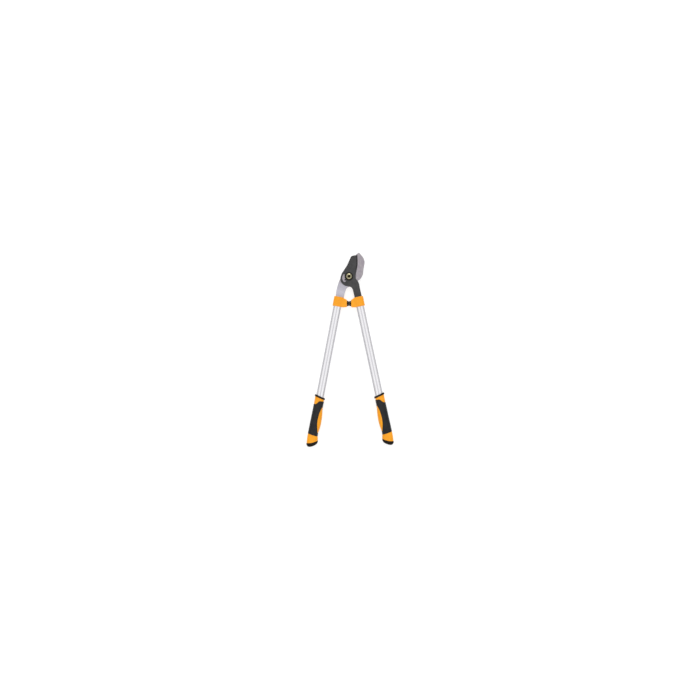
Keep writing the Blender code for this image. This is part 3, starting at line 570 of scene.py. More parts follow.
def hook_steel():
    """Satin plated steel, a little lilac and darker over the jaw, paler on the arm."""
    look = Look("hook_steel", metallic=1.0)
    lines = look.noise(0.6, (50, 1, 4), detail=5, turn=-0.25)
    jaw = look.mix(look.span(lines, 0.25, 0.75), (0.31, 0.27, 0.315), (0.41, 0.375, 0.41))
    blotch = look.span(look.noise(9, (1, 1.6, 1), detail=4), 0.42, 0.68, 0.0, 0.75)
    jaw = look.mix(blotch, jaw, (0.45, 0.425, 0.43))
    arm = look.mix(look.span(lines, 0.2, 0.8), (0.44, 0.43, 0.49), (0.54, 0.52, 0.585))
    tone = look.mix(look.span(look.axis("Y"), -0.012, -0.032), jaw, arm)
    rubbed = look.math("MULTIPLY", look.edges(0.7), look.span(look.noise(4, detail=4), 0.4, 0.6, 0.2, 0.8))
    look.colour(look.mix(rubbed, tone, (0.72, 0.71, 0.70)))
    look.roughness(look.span(look.noise(0.9, (30, 1, 1), detail=5, turn=-0.25), 0.25, 0.75, 0.27, 0.46))
    look.bump(lines, 0.014)
    return look.material


def plated(name, dark, light, roughness=(0.22, 0.4), size=2.5):
    """Zinc or oxide plating with a faint crystalline mottle; it also makes the near-black painted shade
    inside the bolt's socket.
    """
    look = Look(name, metallic=1.0)
    tone = look.mix(look.span(look.noise(size, detail=5), 0.3, 0.7), dark, light)
    spots = look.span(look.cells(size * 0.8), 0.1, 0.5, 0.25, 0.0)
    look.colour(look.mix(spots, tone, [0.6 * c for c in dark]))
    look.roughness(look.span(look.noise(size * 2, detail=5), 0.3, 0.7, *roughness))
    look.bump(look.noise(0.5, detail=3), 0.01)
    return look.material


def drawn_aluminium(handle):
    """Bright drawn tube: long die lines, painted shade darkening its sides and flute (which are also a little
    rougher), and a few faint handling marks.
    """
    look = Look(f"drawn_aluminium_{handle.name}", metallic=1.0, handle=handle)
    look.shader.inputs["Specular Tint"].default_value = (0.35, 0.35, 0.36, 1)
    lines = look.noise(0.7, (1, 400, 1), detail=4)
    tone = look.mix(look.span(lines, 0.3, 0.7), (0.90, 0.89, 0.915), (0.96, 0.95, 0.975))
    tone = look.mix(look.span(look.noise(30, detail=4), 0.4, 0.7, 0.0, 0.35), tone, (0.87, 0.86, 0.91))
    across = look.math("ABSOLUTE", look.axis("X"))
    # Painted shade: the colour is darkened in bands along the tube's sides and along its flute, standing in
    # for the darker reflections there; the same bands are also made a little rougher.
    painted_shade_bands = look.math("MAXIMUM", look.span(across, 0.0112, 0.0134), look.span(across, 0.0028, 0.0008))
    look.colour(look.mix(painted_shade_bands, tone, (0.68, 0.67, 0.705)))
    rough = look.span(look.noise(1.2, (1, 200, 1), detail=4), 0.3, 0.7, 0.20, 0.32)
    marks = look.span(look.noise(2.2, (6, 1, 1), detail=3, turn=0.6), 0.70, 0.76, 0.0, 0.12)
    look.roughness(look.math("ADD", look.math("ADD", rough, marks), look.math("MULTIPLY", painted_shade_bands, 0.08)))
    look.bump(lines, 0.012)
    return look.material


def moulded_orange():
    """Orange moulded plastic: a faint grain, flow tint and the mould's parting line at mid height."""
    look = Look("moulded_orange", Specular_IOR_Level=0.35)
    flow = look.span(look.noise(26, detail=3), 0.3, 0.7)
    tone = look.mix(flow, (0.90, 0.335, 0.006), (0.96, 0.385, 0.010))
    edges = look.edges(0.8, 0.03, 0.2)
    rubbed = look.math("MULTIPLY", edges, look.span(look.noise(5, detail=4), 0.45, 0.65, 0, 0.4))
    look.colour(look.mix(rubbed, tone, (1.0, 0.50, 0.09)))
    look.roughness(look.span(look.noise(4, detail=5), 0.3, 0.7, 0.26, 0.38))
    look.bump(look.noise(0.35, detail=2), 0.006)
    seam = look.span(look.math("ABSOLUTE", look.axis("Z")), 0.0, 0.0003, 1.0, 0.0)
    look.bump(seam, 0.05)
    return look.material


def soft_rubber(name, dark, light, grain, depth, rough, gloss):
    """Soft black overmoulding with a stippled texture, a little paler where hands and dust rub it."""
    look = Look(name, Specular_IOR_Level=gloss, Sheen_Weight=0.03, Sheen_Roughness=0.4)
    tone = look.mix(look.span(look.noise(18, detail=5), 0.3, 0.7), dark, light)
    stipple = look.span(look.cells(grain), 0.0, 0.55)
    hollows = look.math("MULTIPLY", look.math("SUBTRACT", 1.0, stipple), 0.25)
    tone = look.mix(hollows, tone, [1.9 * c for c in light])
    rubbed = look.math("MULTIPLY", look.edges(0.7, 0.04, 0.25), look.span(look.noise(4), 0.4, 0.7, 0.0, 0.5))
    look.colour(look.mix(rubbed, tone, (0.075, 0.073, 0.07)))
    look.roughness(look.span(look.noise(3, detail=5), 0.3, 0.7, *rough))
    look.bump(stipple, depth)
    return look.material


def plain_nylon():
    look = Look("black_nylon")
    look.colour(look.mix(look.noise(6, detail=4), (0.03, 0.03, 0.032), (0.06, 0.06, 0.062)))
    look.roughness(look.span(look.noise(2, detail=4), 0.3, 0.7, 0.45, 0.62))
    look.bump(look.noise(0.5, detail=2), 0.02)
    return look.material


# Jaws


def plate(name, outline, low, high, chamfer, surfaces, handle):
    """A flat plate with rounded rims whose arm steps over to the tube's axis in a smooth bend."""
    angles = quarter(3)
    lower = [(low + chamfer * (1 - math.cos(a)), chamfer * (1 - math.sin(a))) for a in angles]
    upper = [(high - chamfer * (1 - math.sin(a)), chamfer * (1 - math.cos(a))) for a in angles]
    levels = [[(x, y, z) for x, y in inset(outline, width)] for z, width in (*lower, *upper)]
    body = add(name, mesh_of(name, *loft(levels)), surfaces=surfaces)
    work = bmesh.new()
    work.from_mesh(body.data)
    direction = Vector(handle.to_head(1.0, 0.0)) - handle.foot
    normal = (direction.x, direction.y, 0.0)
    for k in range(CRANK_BENDS + 1):
        u = CRANK_START + (CRANK_END - CRANK_START) * k / CRANK_BENDS
        point = Vector(handle.to_head(u, 0.0)) * MM
        place = (point.x, point.y, 0.0)
        everything = [*work.verts, *work.edges, *work.faces]
        bmesh.ops.bisect_plane(work, geom=everything, dist=1e-5, plane_co=place, plane_no=normal)
    shift = -(low + high) / 2 * MM
    for vertex in work.verts:
        u, _ = handle.from_head(vertex.co.x / MM, vertex.co.y / MM)
        share = max(0.0, min(1.0, (u - CRANK_START) / (CRANK_END - CRANK_START)))
        vertex.co.z += shift * share * share * (3 - 2 * share)
    work.to_mesh(body.data)
    work.free()
    return body


def drill(body, radius, count=96, centre=(0.0, 0.0)):
    cut(body, turned(((radius, -BEYOND), (radius, BEYOND)), count, centre))


def quarter(steps):
    """Angles over a quarter turn."""
    return [math.pi / 2 * k / steps for k in range(steps + 1)]


def finish_plate(body, handle, slot, node):
    shade(body.data, 28)
    even_normals(body)
    shown(body, handle.body, slot, node)


def tang(handle):
    corners = ((TANG_START, 1), (TANG_END, 1), (TANG_END, -1), (TANG_START, -1))
    return [handle.to_head(u, v * TANG_HALF_WIDTH) for u, v in corners]


def grind_cutter():
    """What the grinder takes off the blade's front, a bevel and a honed edge, and each face's material."""
    edge = smooth_run(CUTTING_EDGE, 12)
    after = Vector(edge[-1]) + (Vector(edge[-1]) - Vector(edge[-3])).normalized() * 6
    edge = [*edge, tuple(after)]
    sections, travelled = [], 0.0
    for k, point in enumerate(edge):
        if k:
            travelled += math.dist(point, edge[k - 1])
        ahead = Vector(edge[min(k + 1, len(edge) - 1)]) - Vector(edge[max(k - 1, 0)])
        outwards = Vector((ahead.y, -ahead.x)).normalized()
        share = min(1.0, travelled / GRIND_FADE)
        lift = (BLADE_HIGH - BLADE_LOW) * (1 - share * share * (3 - 2 * share)) + 0.02
        slope = (BLADE_HIGH - BLADE_LOW - HONED_LIFT) / GRIND_WIDTH
        back, honed = -HONED_WIDTH - GRIND_WIDTH - 1.0, BLADE_LOW + HONED_LIFT + lift
        profile = (
            *((4.0, BLADE_LOW - 2.6 + lift), (0.0, BLADE_LOW + 0.12 + lift), (-HONED_WIDTH, honed)),
            *((back, honed + slope * (GRIND_WIDTH + 1.0)), (back, BLADE_HIGH + 9.0), (4.0, BLADE_HIGH + 9.0)),
        )
        sections.append([(point[0] + outwards.x * s, point[1] + outwards.y * s, z) for s, z in profile])
    points, faces = loft(sections)
    count = len(sections[0])
    sides = [2 if k % count in (0, 1) else 1 for k in range(len(faces) - 2)]
    return (points, faces), [*sides, 1, 1]


def make_blade(handle, surfaces):
    inner = [handle.to_head(*p) for p in BLADE_ARM_INNER]
    outer = [handle.to_head(*p) for p in BLADE_ARM_OUTER]
    outline = without_repeats(
        [
            *smooth_run(CUTTING_EDGE, 10),
            *smooth_run(BLADE_TOP[:2], 4),
            *smooth_run(BLADE_TOP[1:], 5),
            *smooth_run(BLADE_SPINE, 8)[:-1],
            *arc(HEEL_CENTRE, HEEL_RADIUS, HEEL_FIRST, HEEL_LAST, 40),
            *smooth_run((*BLADE_CROTCH, inner[0]), 8),
            inner[1],
            *reversed(tang(handle)),
            outer[0],
            *smooth_run((outer[1], *BLADE_SHOULDER), 8),
        ]
    )
    body = plate("blade_coated", outline, BLADE_LOW, BLADE_HIGH, BLADE_CHAMFER, surfaces, handle)
    cut(body, *grind_cutter())
    drill(body, PIVOT_HOLE)
    window = without_repeats(smooth_run((*BLADE_WINDOW, BLADE_WINDOW[0]), 6))
    levels = (
        *((0.0, BLADE_LOW - 3), (0.0, BLADE_HIGH - WINDOW_BEVEL)),
        *((WINDOW_BEVEL, BLADE_HIGH + 0.01), (WINDOW_BEVEL, BLADE_HIGH + 5)),
    )
    sections = [[(x, y, z) for x, y in inset(window, -grow)] for grow, z in levels]
    cut(body, loft(sections))
    finish_plate(body, handle, "coated_blade", "blade")


def make_hook(handle, surfaces):
    arm_outer = [handle.to_head(*p) for p in HOOK_ARM_OUTER]
    arm_inner = [handle.to_head(*p) for p in HOOK_ARM_INNER]
    outline = without_repeats(
        [
            HOOK_TIP[0],
            *smooth_run((HOOK_TIP[1], *HOOK_MOUTH), 8),
            *arc((0, 0), HOOK_DISC_RADIUS, HOOK_DISC_FIRST, HOOK_DISC_LAST, 36),
            *smooth_run((*HOOK_BACK, arm_outer[0]), 8),
            arm_outer[1],
            *tang(handle),
            arm_inner[0],
            *smooth_run((arm_inner[1], *HOOK_CROTCH), 8),
            *smooth_run(HOOK_LOBE, 8),
            *smooth_run(HOOK_OUTER, 8)[:-1],
        ]
    )
    body = plate("hook_plated", outline, HOOK_LOW, HOOK_HIGH, HOOK_CHAMFER, surfaces, handle)
    drill(body, PIVOT_HOLE)
    cut(body, turned(((RECESS_RADIUS, HOOK_HIGH - RECESS_DEPTH), (RECESS_RADIUS, HOOK_HIGH + 5))))
    pin = arc((0, 0), STOP_PIN_TRACK, STOP_PIN_ANGLE, STOP_PIN_ANGLE, 1)[0]
    drill(body, STOP_PIN_RADIUS + 0.1, 48, pin)
    finish_plate(body, handle, "hook_steel", "hook")


# Pivot


def make_pivot(looks):
    low, top = BOLT_HEAD_LOW, BOLT_HEAD_LOW + BOLT_HEAD_HEIGHT
    profile = [(BOLT_SHANK_RADIUS - 0.8, -MID_HEIGHT), (BOLT_SHANK_RADIUS, -MID_HEIGHT + 0.8)]
    profile += [(BOLT_SHANK_RADIUS, low), (BOLT_HEAD_RADIUS, low), (BOLT_HEAD_RADIUS, low + 1.7)]
    profile += [(10.4, low + 2.9), (9.2, low + 3.9), (7.6, low + 4.6), (6.0, top), (5.4, top)]
    name = "pivot_bolt_domed"
    mesh = mesh_of(name, *turned(round_corners(profile, 0.35)))
    bolt = add(name, mesh, surfaces=[looks["bolt"], looks["socket"]])
    corner = SOCKET_HALF_WIDTH / math.cos(math.pi / 6)
    rim = corner + SOCKET_COUNTERSINK
    # The socket's cut faces take slot 1, the near-black painted shade.
    cut(bolt, turned(((0.4, top - SOCKET_DEPTH), (corner, top - 3.4), (corner, top + 5)), 6), 1)
    cut(bolt, turned(((corner - 0.5, top - 0.8), (rim, top + 0.2), (rim, top + 2)), 96), 1)
    shade(bolt.data, 30)
    shown(bolt, "hook_side", "bolt_zinc", "pivot_bolt")
    for end, radius, low, look, slot in (
        ("front", FRONT_WASHER_RADIUS, FRONT_WASHER_LOW, "washer", "washer_black"),
        ("back", BACK_WASHER_RADIUS, BACK_WASHER_LOW, "zinc", "steel"),
    ):
        name, high = f"washer_{end}_rolled", low + WASHER_THICKNESS
        ring = [(WASHER_BORE, low), (radius, low), (radius, high), (WASHER_BORE, high)]
        ring = round_corners([*ring, *ring[:3]], WASHER_ROUNDING)[:-1]
        washer = add(name, mesh_of(name, *turned_ring(ring[: len(ring) - 6])), surfaces=[looks[look]])
        shown(washer, "hook_side", slot, f"pivot_washer_{end}")


def nut_ring(limit, z):
    """The nut's hexagon, trimmed to a radius."""
    points = []
    for k in range(NUT_POINTS):
        angle = 2 * math.pi * k / NUT_POINTS
        off_flat = (angle + math.pi / 6) % (math.pi / 3) - math.pi / 6
        radius = min(NUT_HALF_WIDTH / math.cos(off_flat), limit)
        points.append((radius * math.cos(angle), radius * math.sin(angle), z))
    return points


def make_nut(looks):
    """A hexagon with chamfered ends, and the domed collar of its nylon insert."""
    half, high = NUT_HALF_WIDTH, NUT_HIGH
    corner = half / math.cos(math.pi / 6)
    sections = [nut_ring(half * 0.98, high), nut_ring(half * 1.05, high - 0.25), nut_ring(corner, high - 0.9)]
    sections += [nut_ring(corner, high - 6.1), nut_ring(half * 1.05, high - 6.7)]
    sections += [nut_ring(half * 0.97, high - 6.95)]
    sections += [circle(radius, z, NUT_POINTS) for radius, z in NUT_DOME]
    name = "pivot_nut_locking"
    nut = add(name, mesh_of(name, *loft(sections)), surfaces=[looks["zinc"], looks["nylon"]])
    cut(nut, turned(((NUT_BORE, -MID_HEIGHT - 2), (NUT_BORE, 0))), index=1)
    shade(nut.data, 30)
    shown(nut, "hook_side", "steel", "pivot_nut")


# Handles


def make_tube(handle, look):
    outer = oval(TUBE_HALF_WIDTH, TUBE_HALF_THICKNESS, flute=FLUTE_DEPTH)
    inner = oval(TUBE_HALF_WIDTH - TUBE_WALL, TUBE_HALF_THICKNESS - TUBE_WALL, flute=FLUTE_DEPTH)
    end = TUBE_END + handle.extra
    middle = (TUBE_START + end) / 2
    wall = ((outer, TUBE_START), (outer, middle), (outer, end), (inner, end), (inner, TUBE_START))
    sections = [[handle.place(u, v, z) for v, z in section] for section, u in wall]
    name = f"tube_{handle.name}_drawn"
    tube = add(name, mesh_of(name, *closed_loft(sections)), handle.matrix, [look])
    shown(tube, handle.body, "aluminium", f"tube_{handle.name}")


def nose_reach(handle, u):
    """How far the nose stands inwards at u, as a v. Its end lies square across the tool's middle."""
    top = handle.from_head(handle.side * NOSE_FACE, NOSE_TOP)
    bottom = handle.from_head(handle.side * NOSE_FACE, NOSE_BOTTOM)
    corners = ((COLLAR_START + 1.0, -2.0), (COLLAR_START + 2.0, -15.0), (COLLAR_START + 3.2, -20.0))
    corners += (top, bottom, (COLLAR_END - 2.6, -28.5), (COLLAR_END - 0.6, -20.0), (COLLAR_END, -12.0))
    reach = value_at(corners, u)
    for corner in (top, bottom):
        away = abs(u - corner[0])
        reach += 0.9 * max(0.0, 1 - away / 2.4) ** 2
    return reach


def collar_distance(v, z, reach):
    """Less than 0 inside the collar's section: a superellipse melted together with a rounded box."""
    across, through = abs(v / COLLAR_HALF_WIDTH), abs(z / COLLAR_HALF_THICKNESS)
    round_part = (across**COLLAR_POWER + through**COLLAR_POWER) ** (1 / COLLAR_POWER)
    round_part = (round_part - 1) * COLLAR_HALF_THICKNESS
    radius, blend = 3.0, 2.2
    centre, half = (reach - 2.0) / 2, max(radius, (-2.0 - reach) / 2)
    a = abs(v - centre) - half + radius
    b = abs(z) - NOSE_HALF_THICKNESS + radius
    box = math.hypot(max(a, 0.0), max(b, 0.0)) + min(max(a, b), 0.0) - radius
    h = max(0.0, min(1.0, 0.5 + 0.5 * (round_part - box) / blend))
    return round_part + (box - round_part) * h - blend * h * (1 - h)


def collar_section(handle, u, shrink, count=120):
    """The collar's outline at u, found by halving along rays from inside it."""
    reach = nose_reach(handle, u)
    points = []
    for k in range(count):
        angle = 2 * math.pi * (k + 0.5) / count
        cos, sin = math.cos(angle), math.sin(angle)
        near, far = 0.0, 60.0
        for _ in range(26):
            middle = (near + far) / 2
            inside = collar_distance(COLLAR_CENTRE + middle * cos, middle * sin, reach) < -shrink
            near, far = (middle, far) if inside else (near, middle)
        points.append(handle.place(u, COLLAR_CENTRE + near * cos, near * sin))
    return points


def make_collar(handle, look):
    stops = [COLLAR_START + 0.35 * k for k in range(18)]
    stops += [COLLAR_START + 6.3 + 1.5 * k for k in range(15)]
    stops += [COLLAR_END - 8.0 + 0.4 * k for k in range(21)]
    sections = []
    for u in stops:
        drop = max(1.3 * rounded(u - COLLAR_START, 1.8), rounded(COLLAR_END - u, 1.1))
        sections.append(collar_section(handle, u, drop))
    name = f"collar_{handle.name}_moulded"
    collar = add(name, mesh_of(name, *loft(sections)), handle.matrix, [look])
    for extra_width, extra_thickness, power, start, end in (
        (0.3, 1.9, 2.6, COLLAR_START + 3.4, COLLAR_END - 5.0),
        (0.2, 0.2, 2.3, COLLAR_END - 6.0, COLLAR_END + 4.0),
    ):
        bore = oval(TUBE_HALF_WIDTH + extra_width, TUBE_HALF_THICKNESS + extra_thickness, power)
        bore = [[handle.place(u, v, z) for v, z in bore] for u in (start, end)]
        cut(collar, loft(bore), matrix=handle.matrix)
    v_in, v_out = handle.arm_edges
    z = handle.arm_thickness / 2 + 0.4
    corners = [(v_in - 0.4, -z), (v_out + 0.4, -z), (v_out + 0.4, z), (v_in - 0.4, z)]
    slot = [[handle.place(u, v, z) for v, z in corners] for u in (COLLAR_START - 4, COLLAR_START + 4.4)]
    cut(collar, loft(slot), matrix=handle.matrix)
    shade(collar.data, 50)
    even_normals(collar)
    shown(collar, handle.body, "orange", f"collar_{handle.name}")


def make_bumper(handle, look):
    full, face, tip = BUMPER_RADIUS, BUMPER_FACE, BUMPER_TIP
    profile = [(3.4, 16.3), (4.0, 15.7), (4.0, face), (full, face), (full, 5.3), (full - 0.35, 4.9)]
    profile += [(full - 0.05, 4.5), (full - 0.5, 2.9), (full - 1.6, 1.4), (full - 3.0, 0.5)]
    profile += [(full - 4.5, tip), (2.5, tip)]
    sections = []
    for radius, x in round_corners(profile, 0.5):
        sections.append([(handle.side * x, BUMPER_Y + a, b) for a, b, _ in circle(radius, 0.0)])
    name = f"bumper_{handle.name}_domed"
    bumper = add(name, mesh_of(name, *loft(sections)), surfaces=[look])
    shown(bumper, handle.body, "soft_black", f"bumper_{handle.name}")


def make_screw(handle, look):
    """A cross-slotted pan head on the collar's back."""
    seat, full, shank = SCREW_SEAT, SCREW_HEAD_RADIUS, SCREW_RADIUS
    x, y, _ = handle.place(SCREW_PLACE, 0.0, 0.0)
    profile = [(1.2, seat - 2.05), (2.2, seat - 2.0), (3.1, seat - 1.5), (full, seat - 0.6)]
    profile += [(full, seat), (shank, seat), (shank, -5.6), (0.7, -4.6)]
    name = f"collar_screw_{handle.name}_pan"
    mesh = mesh_of(name, *turned(round_corners(profile, 0.25), 48, (x, y)))
    screw = add(name, mesh, handle.matrix, [look])
    for a, b in ((2.0, 0.45), (0.45, 2.0)):
        corners = [(x - a, y - b), (x + a, y - b), (x + a, y + b), (x - a, y + b)]
        cut(screw, prism(corners, seat - 5, seat - 1.0), matrix=handle.matrix)
    shade(screw.data, 30)
    shown(screw, handle.body, "steel", f"collar_screw_{handle.name}")


class Sleeve:
    """Where the black overmoulding covers the grip, as seen from the front and back alike."""

    top = smooth_run(SLEEVE_TOP, 8)
    window = smooth_run(SLEEVE_WINDOW, 8)
    bottom = smooth_run(SLEEVE_BOTTOM, 8)

    @classmethod
    def depth(cls, u, v):
        """About how far (u, v) is inside the overmoulding. Less than 0 is outside it."""
        below_top = (u - value_at(cls.top, v, 1)) * 0.85  # its edge is slanted
        above_bottom = value_at(cls.bottom, v, 1) - u
        first, last = cls.window[0], cls.window[-1]
        if u < first[0]:
            edge = first[1] - 2.2 * (first[0] - u)
        elif u > last[0]:
            edge = last[1] - 2.2 * (u - last[0])
        else:
            edge = value_at(cls.window, u, 0)
        return min(below_top, above_bottom, v - edge)


def depth_of(vertex):
    return Sleeve.depth(vertex.co.x / MM, vertex.co.y / MM)


def cut_along(work, level):
    """Splits the faces of the grip's skin where the overmoulding's depth passes level."""
    values = {v: depth_of(v) - level for v in work.verts}
    fresh = set()
    for edge in list(work.edges):
        a, b = values[edge.verts[0]], values[edge.verts[1]]
        if a * b < 0 and min(abs(a), abs(b)) > 1e-3:
            _, new = bmesh.utils.edge_split(edge, edge.verts[0], a / (a - b))
            fresh.add(new)
    for face in list(work.faces):
        ends = [v for v in face.verts if v in fresh or abs(values.get(v, 1.0)) <= 1e-3]
        if len(ends) == 2 and not any(set(e.verts) == set(ends) for e in face.edges):
            bmesh.utils.face_split(face, *ends)


def make_skin():
    """The grip's outer surface in (u, v, z), split along the overmoulding's outline."""
    sections = [grip_section(s) for s in smooth_run(GRIP_STATIONS, 13)]
    mesh = mesh_of("skin", *loft(sections, capped=False))
    skin = bmesh.new()
    skin.from_mesh(mesh)
    bpy.data.meshes.remove(mesh)
    for level in (-SLEEVE_ROUNDING, -0.6, -SEAM, SEAM, 0.6, SLEEVE_ROUNDING):
        cut_along(skin, level)
    skin.normal_update()
    first = skin.verts[:][0]
    if first.normal.dot(Vector((0.0, first.co.y, first.co.z))) < 0:
        bmesh.ops.reverse_faces(skin, faces=skin.faces)
        skin.normal_update()
    return skin


def sunk(handle, vertex, distance):
    """The vertex moved in from the surface, in the handle's own x, y and z."""
    u, v, z = vertex.co - vertex.normal * distance * MM
    return handle.place(u + handle.extra * MM, v, z)


def sleeve_mesh(handle, skin):
    """The overmoulding: a shell with rounded edges."""
    made = bmesh.new()
    faces = [f for f in skin.faces if min(depth_of(v) for v in f.verts) > SEAM - 0.01]
    tops, unders = {}, {}
    for face in faces:
        for vertex in face.verts:
            if vertex not in tops:
                edge = 0.8 * rounded(depth_of(vertex) - SEAM, SLEEVE_ROUNDING)
                tops[vertex] = made.verts.new(sunk(handle, vertex, edge))
                unders[vertex] = made.verts.new(sunk(handle, vertex, SLEEVE_THICKNESS))
    for face in faces:
        made.faces.new([tops[v] for v in face.verts])
        made.faces.new([unders[v] for v in reversed(face.verts)])
    inside = set(faces)
    for edge in skin.edges:
        if sum(f in inside for f in edge.link_faces) == 1:
            a, b = edge.verts
            made.faces.new((tops[a], tops[b], unders[b], unders[a]))
    return made


def core_sink(vertex):
    depth = depth_of(vertex)
    if depth > 0:
        return SLEEVE_THICKNESS + 0.1
    neck = max(0.0, 1 + depth / NECK_FADE) ** 2 if vertex.co.x / MM < NECK_END else 0.0
    return CORE_STEP + 0.5 * rounded(-depth - SEAM, 0.8) + 0.6 * neck


def core_mesh(handle, skin):
    """The core: the skin itself where it shows, and a lower surface under the overmoulding."""
    made = bmesh.new()
    corners = {v: made.verts.new(sunk(handle, v, core_sink(v))) for v in skin.verts}
    for face in skin.faces:
        made.faces.new([corners[v] for v in face.verts])
    rims = [corners[v] for v in skin.verts if v.is_boundary]
    for ring in (rims[: len(rims) // 2], rims[len(rims) // 2 :]):
        for face in strips(ring):
            made.faces.new(face)
    return made


def make_grip(handle, looks):
    skin = make_skin()
    for kind, build, look, slot in (
        ("sleeve", sleeve_mesh, "rubber", "soft_black"),
        ("core", core_mesh, "orange", "orange"),
    ):
        name = f"grip_{kind}_{handle.name}_moulded"
        work = build(handle, skin)
        bmesh.ops.recalc_face_normals(work, faces=work.faces)
        mesh = bpy.data.meshes.new(name)
        work.to_mesh(mesh)
        work.free()
        body = add(name, mesh, handle.matrix, [looks[look]], 50)
        if kind == "core":
            bore_for_tube(body, handle, TUBE_END + 0.3)
        shown(body, handle.body, slot, f"grip_{kind}_{handle.name}")
    skin.free()


def bore_for_tube(body, handle, end):
    bore = oval(TUBE_HALF_WIDTH + 0.1, TUBE_HALF_THICKNESS + 0.1)
    bore = [[handle.place(u + handle.extra, v, z) for v, z in bore] for u in (GRIP_BORE_START, end)]
    cut(body, loft(bore), matrix=handle.matrix)
    shade(body.data, 50)


def stations_body(handle, name, stations, look):
    """A closed body through the stations."""
    sections = []
    for station in stations:
        sections.append([handle.place(u + handle.extra, v, z) for u, v, z in grip_section(station)])
    return add(name, mesh_of(name, *bowed_loft(sections)), handle.matrix, [look], 50)


def make_grip_ends(handle, look):
    stations = []
    for k in range(RING_STEPS + 1):
        share = (1 - math.cos(math.pi * k / RING_STEPS)) / 2
        drop = rounded(min(share, 1 - share) * (RING_BOTTOM[0] - RING_TOP[0]), RING_ROUNDING)
        u_out, u_in = [a + (b - a) * share for a, b in zip(RING_TOP, RING_BOTTOM)]
        stations.append((u_out, RING_REACH - drop, u_in, drop - RING_REACH, RING_HALF_THICKNESS - drop, 0.0))
    ring = stations_body(handle, f"grip_ring_{handle.name}_flange", stations, look)
    bore_for_tube(ring, handle, RING_BORE_END)
    shown(ring, handle.body, "soft_black", f"grip_ring_{handle.name}")
    cap = stations_body(handle, f"grip_cap_{handle.name}_rounded", smooth_run(CAP_STATIONS, 10), look)
    shown(cap, handle.body, "soft_black", f"grip_cap_{handle.name}")


# The whole


def make_looks():
    return {
        "blade": coated_steel("coated_blade", (0.031, 0.031, 0.032), (0.050, 0.049, 0.051)),
        "bevel": coated_steel("coated_bevel", (0.022, 0.020, 0.022), (0.034, 0.032, 0.035), lines=True),
        "edge": ground_steel("honed_edge", (0.30, 0.30, 0.31), (0.55, 0.55, 0.56), turn=0.1),
        "hook": hook_steel(),
        "bolt": plated("yellow_zinc", (0.33, 0.30, 0.17), (0.52, 0.48, 0.32)),
        # Painted shade: the bolt's hex socket is coloured near-black brown to stand for the shade inside it,
        # not for a real finish.
        "socket": plated("socket_painted_shade", (0.020, 0.014, 0.006), (0.035, 0.027, 0.012), (0.5, 0.7)),
        "washer": plated("black_oxide", (0.018, 0.018, 0.017), (0.035, 0.034, 0.03), (0.35, 0.55)),
        "zinc": plated("bright_zinc", (0.45, 0.45, 0.47), (0.66, 0.66, 0.68)),
        "bronze": plated("sintered_bronze", (0.38, 0.22, 0.09), (0.55, 0.35, 0.16), (0.4, 0.6), 0.8),
        "orange": moulded_orange(),
        "rubber": soft_rubber(
            "soft_overmould", (0.010, 0.010, 0.011), (0.019, 0.0185, 0.020), 1.0, 0.15, (0.38, 0.54), 0.22
        ),
        "rubber_fine": soft_rubber(
            "soft_rubber_fine", (0.007, 0.0055, 0.004), (0.013, 0.0105, 0.008), 0.5, 0.04, (0.5, 0.66), 0.12
        ),
        "nylon": plain_nylon(),
    }


def dress_hidden_nodes(looks):
    """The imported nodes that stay: pieces inside the pivot and the tubes."""
    stays = {"pivot_bush": "bronze", "glide_washer": "nylon", "stop_pin": "washer"}
    for side in ("left", "right"):
        stays[f"tang_adapter_{side}"] = "nylon"
        stays[f"rivet_{side}_upper"] = "zinc"
        stays[f"rivet_{side}_lower"] = "zinc"
    for node, look in stays.items():
        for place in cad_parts[node].material_slots:
            place.material = looks[look]


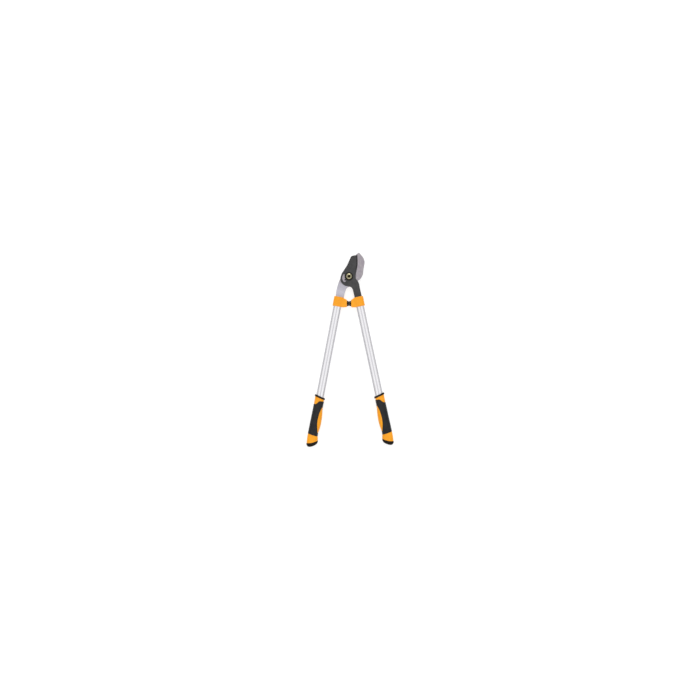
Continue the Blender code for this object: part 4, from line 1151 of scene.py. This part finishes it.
def make_studio():
    """A white floor under a diffuser that fades towards darker walls, with a key and a fill light."""
    scene = bpy.context.scene
    scene.view_settings.view_transform = "Standard"
    floor_look = Look("studio_floor", roughness=0.8, Specular_IOR_Level=0.1)
    tone = floor_look.mix(floor_look.noise(300, detail=2), (0.44, 0.44, 0.44), (0.46, 0.46, 0.46))
    floor_look.colour(tone)
    floor_look.shader.inputs["Emission Color"].default_value = (1, 1, 1, 1)
    floor_look.shader.inputs["Emission Strength"].default_value = 0.70
    half, low = FLOOR_HALF_WIDTH, FLOOR_Z
    corners = [(-half, -half, low), (half, -half, low), (half, half, low), (-half, half, low)]
    mesh = mesh_of("studio_floor", corners, [(0, 1, 2, 3)])
    floor = add("studio_floor", mesh, Matrix(), [floor_look.material])

    world = bpy.data.worlds.new("studio")
    scene.world = world
    world.use_nodes = True
    nodes, links = world.node_tree.nodes, world.node_tree.links
    where = nodes.new("ShaderNodeTexCoord")
    split = nodes.new("ShaderNodeSeparateXYZ")
    ramp = nodes.new("ShaderNodeValToRGB")
    links.new(where.outputs["Generated"], split.inputs[0])
    links.new(split.outputs["Z"], ramp.inputs[0])
    links.new(ramp.outputs[0], nodes["Background"].inputs["Color"])
    stops = ramp.color_ramp.elements
    while len(stops) < len(SKY):
        stops.new(0.5)
    for stop, (height, level) in zip(stops, SKY):
        stop.position = height
        stop.color = (level, level, level, 1)

    for name, strength, spread, tilt in LAMPS:
        lamp = bpy.data.lights.new(name, "SUN")
        lamp.energy = strength
        lamp.angle = math.radians(spread)
        made = bpy.data.objects.new(name, lamp)
        made.rotation_euler = (math.radians(tilt), 0, 0)
        scene.collection.objects.link(made)

    lens = bpy.data.cameras.new("photo_view")
    lens.sensor_width = SENSOR_WIDTH
    lens.lens = lens.sensor_width * CAMERA_DISTANCE / VIEW_WIDTH
    camera = bpy.data.objects.new("photo_view", lens)
    camera.location = CAMERA_SPOT
    scene.collection.objects.link(camera)
    scene.camera = camera


def main():
    looks = make_looks()
    make_studio()
    dress_hidden_nodes(looks)
    left, right = Handle("left"), Handle("right")
    make_hook(left, [looks["hook"]])
    make_blade(right, [looks["blade"], looks["bevel"], looks["edge"]])
    make_pivot(looks)
    make_nut(looks)
    for handle in (left, right):
        make_tube(handle, drawn_aluminium(handle))
        make_collar(handle, looks["orange"])
        make_bumper(handle, looks["rubber_fine"])
        make_screw(handle, looks["zinc"])
        make_grip(handle, looks)
        make_grip_ends(handle, looks["rubber_fine"])


main()
